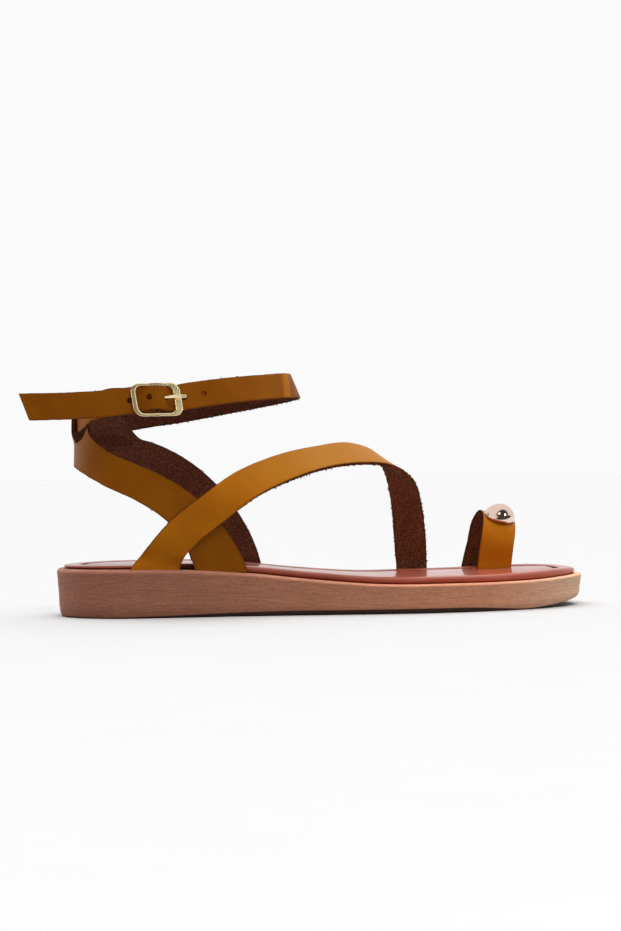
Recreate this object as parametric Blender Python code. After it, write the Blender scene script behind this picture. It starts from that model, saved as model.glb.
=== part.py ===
"""Right-foot leather sandal: wedge sole, padded insole, instep strap, heel sling, ankle strap and toe loop.

Frame: metres, +Z up, +X to the toe, -Y to the outer side of the foot, origin on the floor under the
middle of the sole. Sizes in this file are millimetres and degrees, and are scaled by MM when built.
"""

import math

import bmesh
import bpy
import numpy as np

MM = 0.001

# Driving sizes
SOLE_LENGTH = 255.0
HEEL_ROUND = 34.0
TOE_ROUND = 44.0
TOE_SQUARENESS = 2.3
INSOLE_INSET = 3.2
LEDGE_MIDDLE = 2.0
FOOT_RISE = 3.0
FOOT_REACH = 16.0
LEATHER = 1.8
EDGE_BEVEL = 0.35
GAP = 0.3
ANKLE_WIDTH = 12.3
BUCKLED_WIDTH = 11.4
OVER_BAR_WIDTH = 10.6
HOOK_WIDTH = 10.0
TAB_RISE = 19.5
TAB_CENTRE = 5.0
TAB_NEAR_FLAT = 20.0
TAB_NEAR_FOOT = 32.0
TAB_FAR_FLAT = 22.0
TAB_FAR_FOOT = 40.0
BRIDGE_STAND = 1.4
NEAR_STRIP_STAND = 0.2
FAR_STRIP_STAND = -2.2
BRIDGE_HALF = 4.0
SLIT_END = 12.0
WEAVE_FROM = 2.5
WEAVE_FULL = 9.5
TAIL_CUT = 0.36
HOLE_DIAMETER = 2.7
HOLES_AT = (-12.1, -3.0, 12.8, 22.0)
FRAME_LENGTH = 22.6
FRAME_HEIGHT = 15.1
FRAME_THICK = 2.0
FRAME_CORNER = 4.0
WINDOW_CORNER = 2.2
LEFT_BAR = 2.1
RIGHT_BAR = 3.2
RAIL = 1.25
FRAME_SLANT = 0.13
FRAME_ROUNDING = 0.2
SECTION_LOW = 0.55
SECTION_HIGH = 0.4
BAR_RADIUS = 0.8
BAR_DEPTH = -2.2
PRONG_RADIUS = 0.9
PRONG_UP = 0.95
STUD_LENGTH = 16.2
STUD_WIDTH = 11.6
STUD_HEIGHT = 6.8
STUD_STAND = 0.6
STUD_TURN = 12.0
STUD_AT = 0.40
SLIT_BELOW = 8.0
SLIT_ABOVE = 14.0
LOOP_AT = 85.0
STRAP_COLOUR = (0.34, 0.13, 0.012)

# Sampling of the curved pieces
SOLE_STEPS = 52
STRAP_STEP = 4.0
BUCKLED_STEP = 3.0
LOOP_STEP = 3.0
SLING_LANES = 9
TUBE_SIDES = 10
HOLE_SIDES = 14
PRONG_STEPS = 12
TUBE_SIDE = np.array((0.3, 0.5, 0.8))
EYE_STEPS = 16
EYE_SIDES = 8
STUD_SIDES = 24
STUD_LIFTS = (0, 6, 18, 32, 47, 62, 76, 86)
STUD_FOOT = 0.97
SHARP_ANGLE = 40.0


def smooth(keys, values, at):
    """Cubic curve through values at keys, read at the places asked for."""
    keys = np.asarray(keys, float)
    values = np.asarray(values, float)
    slopes = np.gradient(values, keys)
    left = np.clip(np.searchsorted(keys, at) - 1, 0, len(keys) - 2)
    span = keys[left + 1] - keys[left]
    s = (at - keys[left]) / span
    rise = (1 - s) ** 2 * (1 + 2 * s) * values[left] + s**2 * (3 - 2 * s) * values[left + 1]
    return rise + span * s * (1 - s) * ((1 - s) * slopes[left] - s * slopes[left + 1])


def ease(low, high, at):
    """Smooth step from 0 at low to 1 at high."""
    t = np.clip((np.asarray(at, float) - low) / (high - low), 0, 1)
    return t * t * (3 - 2 * t)


class Table:
    """Rows of numbers under named columns."""

    def __init__(self, columns, *rows):
        self.names = columns.split()
        self.rows = np.array(rows, float)

    def column(self, name):
        return self.rows[:, self.names.index(name)]

    def read(self, name, at):
        """Smooth value of a column at places along the first column."""
        return smooth(self.rows[:, 0], self.column(name), np.asarray(at, float))


# Plan of the sole from heel (0) to toe (1): middle line, +Y to the inner side, and half width
PLAN = Table(
    "share middle half",
    (0.00, 0.0, 29.0),
    (0.10, 0.0, 31.0),
    (0.20, -0.5, 32.0),
    (0.32, -1.5, 32.0),
    (0.44, -3.0, 34.0),
    (0.56, -3.0, 38.5),
    (0.66, -1.0, 42.5),
    (0.76, 2.0, 43.0),
    (0.86, 5.5, 40.0),
    (0.94, 8.0, 37.0),
    (1.00, 9.0, 36.0),
)

# Side view of the sole: top edge, floor side with toe spring, and the insole's rim above the top edge
PROFILE = Table(
    "share top floor rim",
    (0.00, 22.3, 0.0, 1.5),
    (0.15, 22.3, 0.0, 1.7),
    (0.25, 21.5, 0.0, 2.4),
    (0.34, 19.7, 0.0, 2.8),
    (0.46, 16.2, 0.0, 3.0),
    (0.58, 13.7, 0.0, 3.0),
    (0.70, 13.4, 0.0, 3.0),
    (0.80, 13.4, 0.0, 3.2),
    (0.88, 13.8, 0.6, 3.5),
    (0.94, 14.5, 2.2, 3.2),
    (1.00, 15.3, 4.8, 2.2),
)

# Edge of the outsole, from the floor up: share of the height and inset from the plan
SOLE_EDGE = Table(
    "share inset",
    (0.00, 2.6),
    (0.03, 1.8),
    (0.09, 1.45),
    (0.50, 0.75),
    (0.86, 0.15),
    (0.93, 0.0),
    (0.975, 0.4),
    (1.00, 1.3),
)

# Edge and top of the insole, from underneath up and in: share of the rim's height and inset
INSOLE_EDGE = Table(
    "share inset",
    (0.00, 1.3),
    (0.22, 0.3),
    (0.50, 0.0),
    (0.82, 0.5),
    (1.00, 1.9),
    (1.00, 4.2),
    (0.86, 7.2),
    (0.50, 8.7),
    (0.50, 9.8),
    (0.82, 11.3),
)

# Strap tables: a place on the strap's middle line, where its grain face looks, and its width
STRAP_COLUMNS = "x y z fx fy fz width"


def share_at(x):
    return np.clip(np.asarray(x, float) / SOLE_LENGTH + 0.5, 0, 1)


def profile_at(name, x):
    return PROFILE.read(name, share_at(x))


def half_width(share):
    """Half width of the plan, closed by a round heel and a squarer round toe."""
    from_heel = share * SOLE_LENGTH
    from_toe = SOLE_LENGTH - from_heel
    heel = np.clip(1 - from_heel / HEEL_ROUND, 0, 1)
    toe = np.clip(1 - from_toe / TOE_ROUND, 0, 1)
    closing = np.sqrt(1 - heel**2) * (1 - toe**TOE_SQUARENESS) ** (1 / TOE_SQUARENESS)
    return PLAN.read("half", share) * closing


def plan_ring(inset):
    """Plan outline drawn in by inset: outer side heel to toe, then inner side back to the heel."""
    turn = np.linspace(0, math.pi, SOLE_STEPS + 1)
    share = (1 - np.cos(turn)) / 2
    middle = PLAN.read("middle", share)
    half = half_width(share)
    x = (share - 0.5) * SOLE_LENGTH
    outer = np.column_stack([x, middle - half])
    inner = np.column_stack([x, middle + half])[-2:0:-1]
    ring = np.concatenate([outer, inner])
    along = np.roll(ring, -1, axis=0) - np.roll(ring, 1, axis=0)
    along /= np.linalg.norm(along, axis=1, keepdims=True)
    return ring + inset * np.column_stack([-along[:, 1], along[:, 0]])


def ledge(x, side):
    """Middle of the sole's ledge beside the insole: side -1 is the outer side, +1 the inner."""
    share = share_at(x)
    return float(PLAN.read("middle", share) + side * (half_width(share) - LEDGE_MIDDLE))


def foot_row(x, side, rise, width):
    """Strap row upright on the ledge, facing out from the sole's edge."""
    slope = (ledge(x + FOOT_RISE, side) - ledge(x - FOOT_RISE, side)) / (2 * FOOT_RISE)
    base = float(profile_at("top", x)) + GAP
    return x, ledge(x, side), base + rise, -side * slope, side, 0.0, width


def make_object(name, points, faces, colour, roughness, metallic=0.0):
    """Closed mesh object from points in millimetres, with its own material."""
    mesh = bpy.data.meshes.new(name)
    mesh.from_pydata([tuple(MM * np.asarray(p)) for p in points], [], faces)
    work = bmesh.new()
    work.from_mesh(mesh)
    bmesh.ops.recalc_face_normals(work, faces=work.faces)
    if work.calc_volume(signed=True) < 0:
        bmesh.ops.reverse_faces(work, faces=work.faces)
    work.to_mesh(mesh)
    work.free()
    mesh.shade_smooth()
    mesh.set_sharp_from_angle(angle=math.radians(SHARP_ANGLE))
    finish = bpy.data.materials.new(name)
    finish.use_nodes = True
    shader = finish.node_tree.nodes["Principled BSDF"]
    shader.inputs["Base Color"].default_value = (*colour, 1.0)
    shader.inputs["Roughness"].default_value = roughness
    shader.inputs["Metallic"].default_value = metallic
    mesh.materials.append(finish)
    made = bpy.data.objects.new(name, mesh)
    bpy.context.scene.collection.objects.link(made)
    return made


def make_cutter(name, points, faces):
    cutter = make_object(name, points, faces, (0.5, 0.5, 0.5), 0.5)
    cutter.hide_render = True
    cutter.display_type = "WIRE"
    return cutter


def add_boolean(target, other, operation):
    change = target.modifiers.new(other.name, "BOOLEAN")
    change.operation = operation
    change.solver = "EXACT"
    change.object = other


def loft(rings, loop=False):
    """Points and faces of a skin over closed rings; open ends get one flat face each."""
    count = len(rings[0])
    points = np.concatenate(rings)
    faces = []
    for i in range(len(rings) if loop else len(rings) - 1):
        low = i * count
        high = (i + 1) % len(rings) * count
        for j in range(count):
            k = (j + 1) % count
            faces.append((low + j, low + k, high + k, high + j))
    if not loop:
        last = (len(rings) - 1) * count
        faces.append(tuple(range(count - 1, -1, -1)))
        faces.append(tuple(range(last, last + count)))
    return points, faces


def ladder(start, count):
    """Faces across a plan ring, rung by rung from heel to toe."""
    half = count // 2
    faces = [(start, start + 1, start + count - 1)]
    for i in range(1, half - 1):
        faces.append((start + i, start + i + 1, start + count - i - 1, start + count - i))
    faces.append((start + half - 1, start + half, start + half + 1))
    return faces


def plan_solid(rings):
    """Points and faces of a solid stacked from plan rings, with rungs across its bottom and top."""
    count = len(rings[0])
    points, faces = loft(rings)
    faces = faces[:-2]
    faces += [face[::-1] for face in ladder(0, count)]
    faces += ladder((len(rings) - 1) * count, count)
    return points, faces


def make_outsole():
    rings = []
    for share, inset in SOLE_EDGE.rows:
        ring = plan_ring(inset)
        floor = profile_at("floor", ring[:, 0])
        top = profile_at("top", ring[:, 0])
        rings.append(np.column_stack([ring, floor + share * (top - floor)]))
    return make_object("outsole", *plan_solid(rings), (0.30, 0.14, 0.085), 0.6)


def make_insole(slit):
    rings = []
    for share, inset in INSOLE_EDGE.rows:
        ring = plan_ring(INSOLE_INSET + inset)
        base = profile_at("top", ring[:, 0]) + GAP
        rings.append(np.column_stack([ring, base + share * profile_at("rim", ring[:, 0])]))
    made = make_object("insole", *plan_solid(rings), (0.25, 0.07, 0.035), 0.35)
    add_boolean(made, slit, "DIFFERENCE")
    return made


class Strap:
    """Flat strap along the rows of a strap table: places, directions and widths at even steps."""

    def __init__(self, rows, step=STRAP_STEP, feet=()):
        table = Table(STRAP_COLUMNS, *rows)
        places = table.rows[:, :3]
        chord = np.linalg.norm(np.diff(places, axis=0), axis=1)
        keys = np.concatenate([[0], np.cumsum(chord)])
        at = [np.linspace(a, b, max(2, round((b - a) / step) + 1))[:-1] for a, b in zip(keys, keys[1:])]
        at = np.append(np.concatenate(at), keys[-1])
        read = {name: smooth(keys, table.column(name), at) for name in table.names}
        self.at = at
        self.row_at = keys
        self.centre = np.column_stack([read["x"], read["y"], read["z"]])
        along = np.gradient(self.centre, at, axis=0)
        self.along = along / np.linalg.norm(along, axis=1, keepdims=True)
        face = np.column_stack([read["fx"], read["fy"], read["fz"]])
        face -= self.along * np.sum(face * self.along, axis=1, keepdims=True)
        self.face = face / np.linalg.norm(face, axis=1, keepdims=True)
        self.across = np.cross(self.along, self.face)
        self.width = read["width"]
        for end in feet:
            self.level(end)

    def level(self, end):
        """Turn the sections near an end level, as where a slanting strap meets the ledge."""
        upright = ease(FOOT_RISE, FOOT_REACH, np.abs(self.at - self.at[end]))[:, None]
        flat = np.cross(self.face, (0.0, 0.0, 1.0))
        flat *= np.sign(np.sum(flat * self.across, axis=1, keepdims=True))
        across = upright * self.across + (1 - upright) * flat
        self.across = across / np.linalg.norm(across, axis=1, keepdims=True)

    def frame(self, at):
        """Centre, along, across and face directions at a distance along the strap."""
        found = []
        for table in (self.centre, self.along, self.across, self.face):
            found.append(np.array([np.interp(at, self.at, table[:, i]) for i in range(3)]))
        return found

    def rings(self, thick=LEATHER, spread=0.0, span=None, cut=0.0):
        """Section rings of the strap's solid, with small bevels along its cut edges."""
        bevel = EDGE_BEVEL
        rings = []
        for i, place in enumerate(self.centre):
            if span and not span[0] <= self.at[i] <= span[1]:
                continue
            half = self.width[i] / 2 + spread
            outline = (
                (-half + bevel, thick / 2),
                (half - bevel, thick / 2),
                (half, thick / 2 - bevel),
                (half, bevel - thick / 2),
                (half - bevel, -thick / 2),
                (-half + bevel, -thick / 2),
                (-half, bevel - thick / 2),
                (-half, thick / 2 - bevel),
            )
            slant = cut if i == len(self.centre) - 1 else 0.0
            rings.append(
                np.array(
                    [
                        place + self.across[i] * v + self.face[i] * w + self.along[i] * slant * v
                        for v, w in outline
                    ]
                )
            )
        return rings


def settled(rings, ends):
    """Strap rings with the end rings named laid along the sole's ledge."""
    for end in ends:
        rings[end][:, 2] = profile_at("top", rings[end][:, 0]) + GAP
    return rings


def instep_rows():
    """Instep strap from the outer heel ledge over the foot to the inner ball ledge."""
    return (
        foot_row(-84.6, -1, 0.0, 22.5),
        foot_row(-83.0, -1, FOOT_RISE, 21.5),
        (-77.8, -32.0, 31.5, 0.0, -1.0, 0.02, 17.0),
        (-70.2, -32.8, 39.4, 0.0, -1.0, 0.05, 15.6),
        (-58.3, -32.4, 49.3, 0.0, -1.0, 0.12, 15.5),
        (-42.5, -28.2, 60.0, 0.0, -1.0, 0.50, 15.5),
        (-24.0, -21.5, 67.6, 0.0, -1.0, 0.80, 15.5),
        (-4.0, -13.0, 72.6, 0.0, -1.0, 1.05, 15.5),
        (14.0, -3.5, 74.4, 0.0, -0.75, 1.20, 15.5),
        (28.6, 6.5, 71.3, 0.2, -0.20, 1.20, 15.2),
        (37.6, 16.5, 65.5, 0.35, 0.35, 1.00, 15.0),
        (43.4, 25.5, 58.5, 0.30, 0.80, 0.75, 15.2),
        (47.5, 32.5, 47.5, 0.15, 1.0, 0.45, 15.8),
        (50.0, 37.8, 31.5, 0.0, 1.0, 0.25, 16.0),
        foot_row(51.5, 1, FOOT_RISE, 16.0),
        foot_row(51.8, 1, 0.0, 16.0),
    )


def sling_rows():
    """Heel sling from the outer ledge, up round the back of the heel, to the inner ledge."""
    return (
        foot_row(-54.0, -1, 0.0, 24.0),
        foot_row(-55.2, -1, FOOT_RISE, 23.6),
        (-58.8, -31.2, 31.5, 0.0, -1.0, 0.05, 21.0),
        (-65.0, -31.5, 42.0, 0.0, -1.0, 0.07, 18.0),
        (-76.0, -31.3, 52.5, -0.1, -1.0, 0.10, 16.5),
        (-90.0, -29.8, 61.0, -0.25, -1.0, 0.10, 15.4),
        (-103.0, -25.3, 67.1, -0.6, -0.9, 0.10, 15.0),
        (-113.5, -15.0, 73.5, -1.0, -0.7, 0.08, 15.0),
        (-117.9, 1.0, 76.6, -1.0, 0.0, 0.03, 14.0),
        (-114.5, 14.5, 76.9, -1.0, 0.65, 0.03, 15.0),
        (-101.5, 22.0, 76.1, -0.5, 1.0, 0.05, 16.0),
        (-84.0, 25.8, 73.8, -0.2, 1.0, 0.05, 16.0),
        (-70.0, 27.5, 67.5, -0.1, 1.0, 0.08, 16.0),
        (-57.0, 29.0, 57.3, 0.0, 1.0, 0.08, 16.5),
        (-45.5, 29.6, 42.0, 0.0, 1.0, 0.05, 18.0),
        (-40.3, 29.2, 29.5, 0.0, 1.0, 0.0, 21.0),
        foot_row(-38.3, 1, FOOT_RISE, 22.2),
        foot_row(-37.5, 1, 0.0, 22.5),
    )


SLING_BACK_ROW = 8


def heel_sling():
    return Strap(sling_rows(), feet=(0, -1))


def sling_weave(around, up):
    """How far the heel tab stands out from the sling: its middle bridge, then its near or far strip."""
    strip = NEAR_STRIP_STAND if around < 0 else FAR_STRIP_STAND
    slit = ease(BRIDGE_HALF, SLIT_END, abs(around))
    return (BRIDGE_STAND + (strip - BRIDGE_STAND) * slit) * ease(WEAVE_FROM, WEAVE_FULL, up)


def tab_share(around):
    """1 on the heel tab, falling to 0 where its sides run down into the sling."""
    flat, foot = (TAB_NEAR_FLAT, TAB_NEAR_FOOT) if around < 0 else (TAB_FAR_FLAT, TAB_FAR_FOOT)
    return 1 - ease(flat, foot, abs(around))


def sling_back(sling):
    """Distance along the sling of the heel tab's middle."""
    return sling.row_at[SLING_BACK_ROW] + TAB_CENTRE


def tab_place(sling, around, up, stand):
    """Place on the sling: across its band, then straight up the heel tab, and out from its middle skin."""
    at = sling_back(sling) + around
    centre, _, across, face = sling.frame(at)
    band = min(up, np.interp(at, sling.at, sling.width) / 2)
    lift = np.array((0.0, 0.0, 1.0)) - face * face[2]
    lift /= np.linalg.norm(lift)
    return centre + across * band + lift * (up - band) + face * stand


def on_tab(sling, around, up, stand):
    """Place on the heel tab's own skin, which weaves out and in round the ankle strap."""
    return tab_place(sling, around, up, stand + tab_share(around) * sling_weave(around, up))


def sling_rings(sling):
    """Section rings of the heel sling, with the heel tab raised on it at the back."""
    rings = []
    for at, width in zip(sling.at, sling.width):
        around = at - sling_back(sling)
        low = -width / 2
        high = width / 2 + TAB_RISE * tab_share(around)
        body = LEATHER / 2
        lip = body - EDGE_BEVEL
        lanes = np.linspace(low + EDGE_BEVEL, high - EDGE_BEVEL, SLING_LANES)
        outline = [(v, body) for v in lanes] + [(high, lip), (high, -lip)]
        outline += [(v, -body) for v in lanes[::-1]] + [(low, -lip), (low, lip)]
        rings.append(np.array([on_tab(sling, around, v, w) for v, w in outline]))
    return rings


# Where the ankle strap lies on the heel tab: distance round from the tab's middle, up it and in from it
TAB_PASS = Table(
    "around up inward",
    (-23.0, 24.6, 1.4),
    (-18.0, 22.3, 1.8),
    (-13.0, 18.3, 1.8),
    (-7.0, 15.3, 1.5),
    (0.0, 14.8, 0.8),
    (12.0, 14.8, 0.0),
    (23.0, 14.6, 0.0),
)

# Notch that leaves the tab's near strip as a point, from its tip round: places on the grain and flesh sides
NEAR_NOTCH = Table(
    "around up inner_around inner_up",
    (-9.75, 4.2, -8.5, 8.7),
    (-15.5, 7.0, -11.0, 11.0),
    (-17.5, 9.5, -13.5, 13.3),
    (-19.5, 13.7, -16.4, 15.5),
    (-20.1, 12.0, -18.6, 12.0),
    (-21.0, 10.7, -19.8, 10.6),
    (-23.0, 9.5, -22.0, 9.4),
    (-26.5, 8.4, -25.5, 8.3),
    (-31.0, 7.7, -30.2, 7.7),
    (-34.0, 32.0, -34.0, 32.0),
    (-3.5, 32.0, -3.5, 32.0),
    (-3.5, 15.0, -3.5, 15.0),
    (-4.5, 8.0, -5.0, 10.0),
)
FAR_SLIT = Table(
    "around up inner_around inner_up",
    (8.0, 4.0, 8.0, 4.0),
    (4.5, 8.0, 4.5, 8.0),
    (4.5, 21.5, 4.5, 21.5),
    (8.0, 25.5, 8.0, 25.5),
    (11.5, 21.5, 11.5, 21.5),
    (11.5, 8.0, 11.5, 8.0),
)
NOTCH_HUB = (-18.5, 22.0)
SLIT_HUB = (8.0, 15.0)
CUT_SPARE = 2.5


def tab_cut(sling, corners, hub):
    """Cutter for a slit or notch in the heel tab, sloping through the leather, ends fanned round a hub."""
    skin = LEATHER / 2
    levels = (0, skin + CUT_SPARE), (0, skin), (2, -skin), (2, -skin - CUT_SPARE)
    rings = []
    for column, stand in levels:
        rings.append(np.array([on_tab(sling, *row[column : column + 2], stand) for row in corners.rows]))
    points, faces = loft(rings)
    hubs = [on_tab(sling, *hub, stand) for _, stand in (levels[0], levels[-1])]
    fans = []
    for ends, tip in zip(faces[-2:], (len(points), len(points) + 1)):
        fans += [(a, b, tip) for a, b in zip(ends, ends[1:] + ends[:1])]
    return np.concatenate([points, hubs]), faces[:-2] + fans


# Middle of the buckle frame, the strap's run to the toe and where the frame faces
BUCKLE_CENTRE = np.array((-83.0, -31.0, 99.8))
BUCKLE_TOE = np.array((1.0, 0.0, 0.015))
BUCKLE_FACE = np.array((0.0, -1.0, 0.10))


def buckle_axes():
    """Directions of the buckle: to the toe, up and out."""
    toe = BUCKLE_TOE / np.linalg.norm(BUCKLE_TOE)
    out = BUCKLE_FACE - toe * np.dot(BUCKLE_FACE, toe)
    out /= np.linalg.norm(out)
    return toe, np.cross(out, toe), out


def on_buckle(toe_by, up_by, out_by):
    toe, up, out = buckle_axes()
    return BUCKLE_CENTRE + toe * toe_by + up * up_by + out * out_by


UNDER_FRAME = -(FRAME_THICK / 2 + GAP + LEATHER / 2)
WRAP_RADIUS = BAR_RADIUS + GAP + LEATHER / 2
EYE_RADIUS = BAR_RADIUS + GAP + PRONG_RADIUS / 2
OVER_BAR = BAR_DEPTH + EYE_RADIUS + PRONG_RADIUS / 2 + GAP + LEATHER / 2
INNER_RUN = BAR_DEPTH - WRAP_RADIUS - LEATHER / 2
HOOK_ANGLES = (-15, 15, 45, 70, 90)
ROWS_PAST_TAB = 3
TAB_PASS_FROM = len(HOOK_ANGLES)
TAB_PASS_TO = TAB_PASS_FROM + len(TAB_PASS.rows) + ROWS_PAST_TAB


def ankle_rows(sling):
    """Ankle strap: hooked on the centre bar, back through the heel tab, round the ankle, out to its tail."""
    toe, _, out = buckle_axes()
    rows = []
    for angle in np.radians(HOOK_ANGLES):
        towards_bar = -toe * math.cos(angle) + out * math.sin(angle)
        place = on_buckle(0.0, 0.0, BAR_DEPTH) - towards_bar * WRAP_RADIUS
        rows.append((*place, *towards_bar, HOOK_WIDTH))
    rows.append((*on_buckle(-10.5, 0.0, INNER_RUN), -0.1, -1.0, 0.08, BUCKLED_WIDTH))
    rows.append((-103.5, -22.8, 99.2, -0.5, -1.0, 0.1, ANKLE_WIDTH))
    for around, up, inward in TAB_PASS.rows:
        face = sling.frame(sling_back(sling) + around)[3]
        rows.append((*tab_place(sling, around, up, -inward), *face, ANKLE_WIDTH))
    rows += [
        (-88.0, 25.8, 93.1, -0.1, 1.0, 0.25, ANKLE_WIDTH),
        (-62.0, 26.2, 96.9, 0.05, 1.0, 0.33, ANKLE_WIDTH),
        (-45.0, 24.0, 100.0, 0.2, 1.0, 0.36, ANKLE_WIDTH),
        (-28.5, 17.5, 103.1, 0.6, 1.0, 0.40, ANKLE_WIDTH),
        (-17.5, 8.5, 105.3, 1.0, 0.6, 0.42, ANKLE_WIDTH),
        (-14.3, 0.0, 106.3, 1.0, -0.05, 0.42, ANKLE_WIDTH),
        (-18.5, -9.5, 106.5, 0.9, -0.8, 0.40, ANKLE_WIDTH),
        (-30.5, -17.3, 105.6, 0.4, -1.0, 0.35, ANKLE_WIDTH),
        (-46.0, -23.0, 104.2, 0.2, -1.0, 0.28, ANKLE_WIDTH),
        (-60.0, -26.5, 102.5, 0.12, -1.0, 0.20, ANKLE_WIDTH),
        (*on_buckle(13.6, 1.4, UNDER_FRAME), 0.0, -1.0, 0.12, ANKLE_WIDTH),
        (*on_buckle(8.2, 0.3, UNDER_FRAME), 0.0, -1.0, 0.12, BUCKLED_WIDTH),
        (*on_buckle(0.0, 0.6, OVER_BAR), 0.0, -1.0, 0.10, OVER_BAR_WIDTH),
        (*on_buckle(-9.2, 0.2, UNDER_FRAME), 0.0, -1.0, 0.08, BUCKLED_WIDTH),
        (*on_buckle(-12.6, 0.0, UNDER_FRAME), 0.0, -1.0, 0.08, ANKLE_WIDTH),
        (-107.0, -29.6, 98.1, 0.0, -1.0, 0.04, ANKLE_WIDTH),
        (-124.0, -30.3, 97.2, 0.0, -1.0, 0.0, ANKLE_WIDTH),
        (-143.0, -29.0, 96.9, 0.05, -1.0, 0.0, ANKLE_WIDTH),
    ]
    return rows


def toe_rows():
    """Toe loop from a slit in the insole over the big toe to the inner ledge."""
    slit_z = float(profile_at("top", LOOP_AT)) + 2 * GAP
    return (
        (85.6, 11.0, slit_z, 0.0, -1.0, 0.0, 17.0),
        (86.2, 11.0, slit_z + 2 * FOOT_RISE, 0.0, -1.0, 0.0, 17.0),
        (87.7, 10.6, 31.5, 0.05, -1.0, 0.15, 17.0),
        (89.4, 13.6, 38.0, 0.22, -0.80, 0.75, 17.0),
        (90.5, 19.5, 41.8, 0.30, -0.35, 1.0, 17.0),
        (90.5, 27.0, 42.3, 0.30, 0.25, 1.0, 17.0),
        (89.4, 35.5, 37.0, 0.2, 0.85, 0.6, 17.0),
        (88.6, 41.0, 27.5, 0.05, 1.0, 0.25, 17.0),
        foot_row(86.3, 1, FOOT_RISE, 17.0),
        foot_row(85.5, 1, 0.0, 17.0),
    )


def tube(path, radius):
    """Points and faces of a round rod along a path of points."""
    path = np.asarray(path, float)
    along = np.gradient(path, axis=0)
    along /= np.linalg.norm(along, axis=1, keepdims=True)
    side = np.cross(along[0], TUBE_SIDE)
    rings = []
    for place, run in zip(path, along):
        side = side - run * np.dot(side, run)
        side = side / np.linalg.norm(side)
        up = np.cross(run, side)
        turn = np.linspace(0, 2 * math.pi, TUBE_SIDES, endpoint=False)
        rings.append(place + radius * (np.outer(np.cos(turn), side) + np.outer(np.sin(turn), up)))
    return loft(rings)


def rounded_box(left, right, half_height, corner, steps=5):
    """Corner points of a rectangle with round corners, counter-clockwise."""
    points = []
    corners = (right, half_height), (left, half_height), (left, -half_height), (right, -half_height)
    for quarter, (x, y) in enumerate(corners):
        centre = np.array((x - math.copysign(corner, x), y - math.copysign(corner, y)))
        for angle in np.linspace(0, math.pi / 2, steps) + quarter * math.pi / 2:
            points.append(centre + corner * np.array((math.cos(angle), math.sin(angle))))
    return np.array(points)


def on_frame(toe_by, up_by, out_by):
    """Place on the buckle frame, whose bars lean back towards the heel."""
    return on_buckle(toe_by - FRAME_SLANT * up_by, up_by, out_by)


# Bend of the centre bar below a rail: distance in from the rail, and out from the frame
BAR_BEND = Table(
    "in out",
    (0.0, -0.3),
    (0.1, -1.3),
    (0.5, -1.9),
    (1.2, BAR_DEPTH),
)


def make_buckle_frame():
    half = FRAME_LENGTH / 2
    tall = FRAME_HEIGHT / 2
    outer = rounded_box(-half, half, tall, FRAME_CORNER)
    window = rounded_box(-half + LEFT_BAR, half - RIGHT_BAR, tall - RAIL, WINDOW_CORNER)
    depth = FRAME_THICK / 2
    rings = []
    for edge, hole in zip(outer, window):
        inward = (hole - edge) * FRAME_ROUNDING
        section = (
            (edge, -depth * SECTION_LOW),
            (edge, depth * SECTION_HIGH),
            (edge + inward, depth),
            (hole - inward, depth),
            (hole, depth * SECTION_HIGH),
            (hole, -depth * SECTION_LOW),
            (hole - inward, -depth),
            (edge + inward, -depth),
        )
        rings.append(np.array([on_frame(p[0], p[1], w) for p, w in section]))
    made = make_object("buckle_frame", *loft(rings, loop=True), (0.72, 0.60, 0.36), 0.25, 1.0)
    up = tall - RAIL / 2 - BAR_BEND.column("in")
    out = BAR_BEND.column("out")
    path = [on_buckle(0.0, v, w) for v, w in zip(up, out)]
    path += [on_buckle(0.0, -v, w) for v, w in zip(up[::-1], out[::-1])]
    bar = make_cutter("centre_bar", *tube(path, BAR_RADIUS))
    add_boolean(made, bar, "UNION")
    return made


# Prong seen from above the buckle: distance to the toe side of the bar, and out from the frame
PRONG_PATH = Table(
    "toe out",
    (1.2, -1.3),
    (3.0, -0.6),
    (5.0, 0.6),
    (7.0, 1.9),
    (8.4, 2.3),
    (10.0, 2.4),
    (11.4, 2.25),
    (12.8, 1.9),
)


def prong_tube(radius):
    toe = np.linspace(PRONG_PATH.rows[0, 0], PRONG_PATH.rows[-1, 0], PRONG_STEPS)
    out = PRONG_PATH.read("out", toe)
    return tube([on_buckle(u, PRONG_UP, w) for u, w in zip(toe, out)], radius)


def make_buckle_prong():
    made = make_object("buckle_prong", *prong_tube(PRONG_RADIUS), (0.78, 0.66, 0.42), 0.22, 1.0)
    rings = []
    for angle in np.linspace(0, 2 * math.pi, EYE_STEPS, endpoint=False):
        ring = []
        for turn in np.linspace(0, 2 * math.pi, EYE_SIDES, endpoint=False):
            reach = EYE_RADIUS + PRONG_RADIUS / 2 * math.cos(turn)
            ring.append(
                on_buckle(
                    reach * math.cos(angle),
                    PRONG_UP + PRONG_RADIUS * math.sin(turn),
                    BAR_DEPTH + reach * math.sin(angle),
                )
            )
        rings.append(np.array(ring))
    eye = make_cutter("prong_eye", *loft(rings, loop=True))
    add_boolean(made, eye, "UNION")
    return made


def punched_hole(strap, toe_by):
    """Cutter for one hole of the ankle strap's outer run, at a distance to the toe side of the buckle."""
    toe, _, _ = buckle_axes()
    ahead = (strap.centre - BUCKLE_CENTRE) @ toe
    front = int(np.argmax(ahead))
    at = np.interp(-toe_by, -ahead[front:], strap.at[front:])
    centre, along, across, face = strap.frame(at)
    rings = []
    for depth in (-LEATHER, LEATHER):
        ring = []
        for turn in np.linspace(0, 2 * math.pi, HOLE_SIDES, endpoint=False):
            spoke = along * math.cos(turn) + across * math.sin(turn)
            ring.append(centre + spoke * HOLE_DIAMETER / 2 + face * depth)
        rings.append(np.array(ring))
    return loft(rings)


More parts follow.
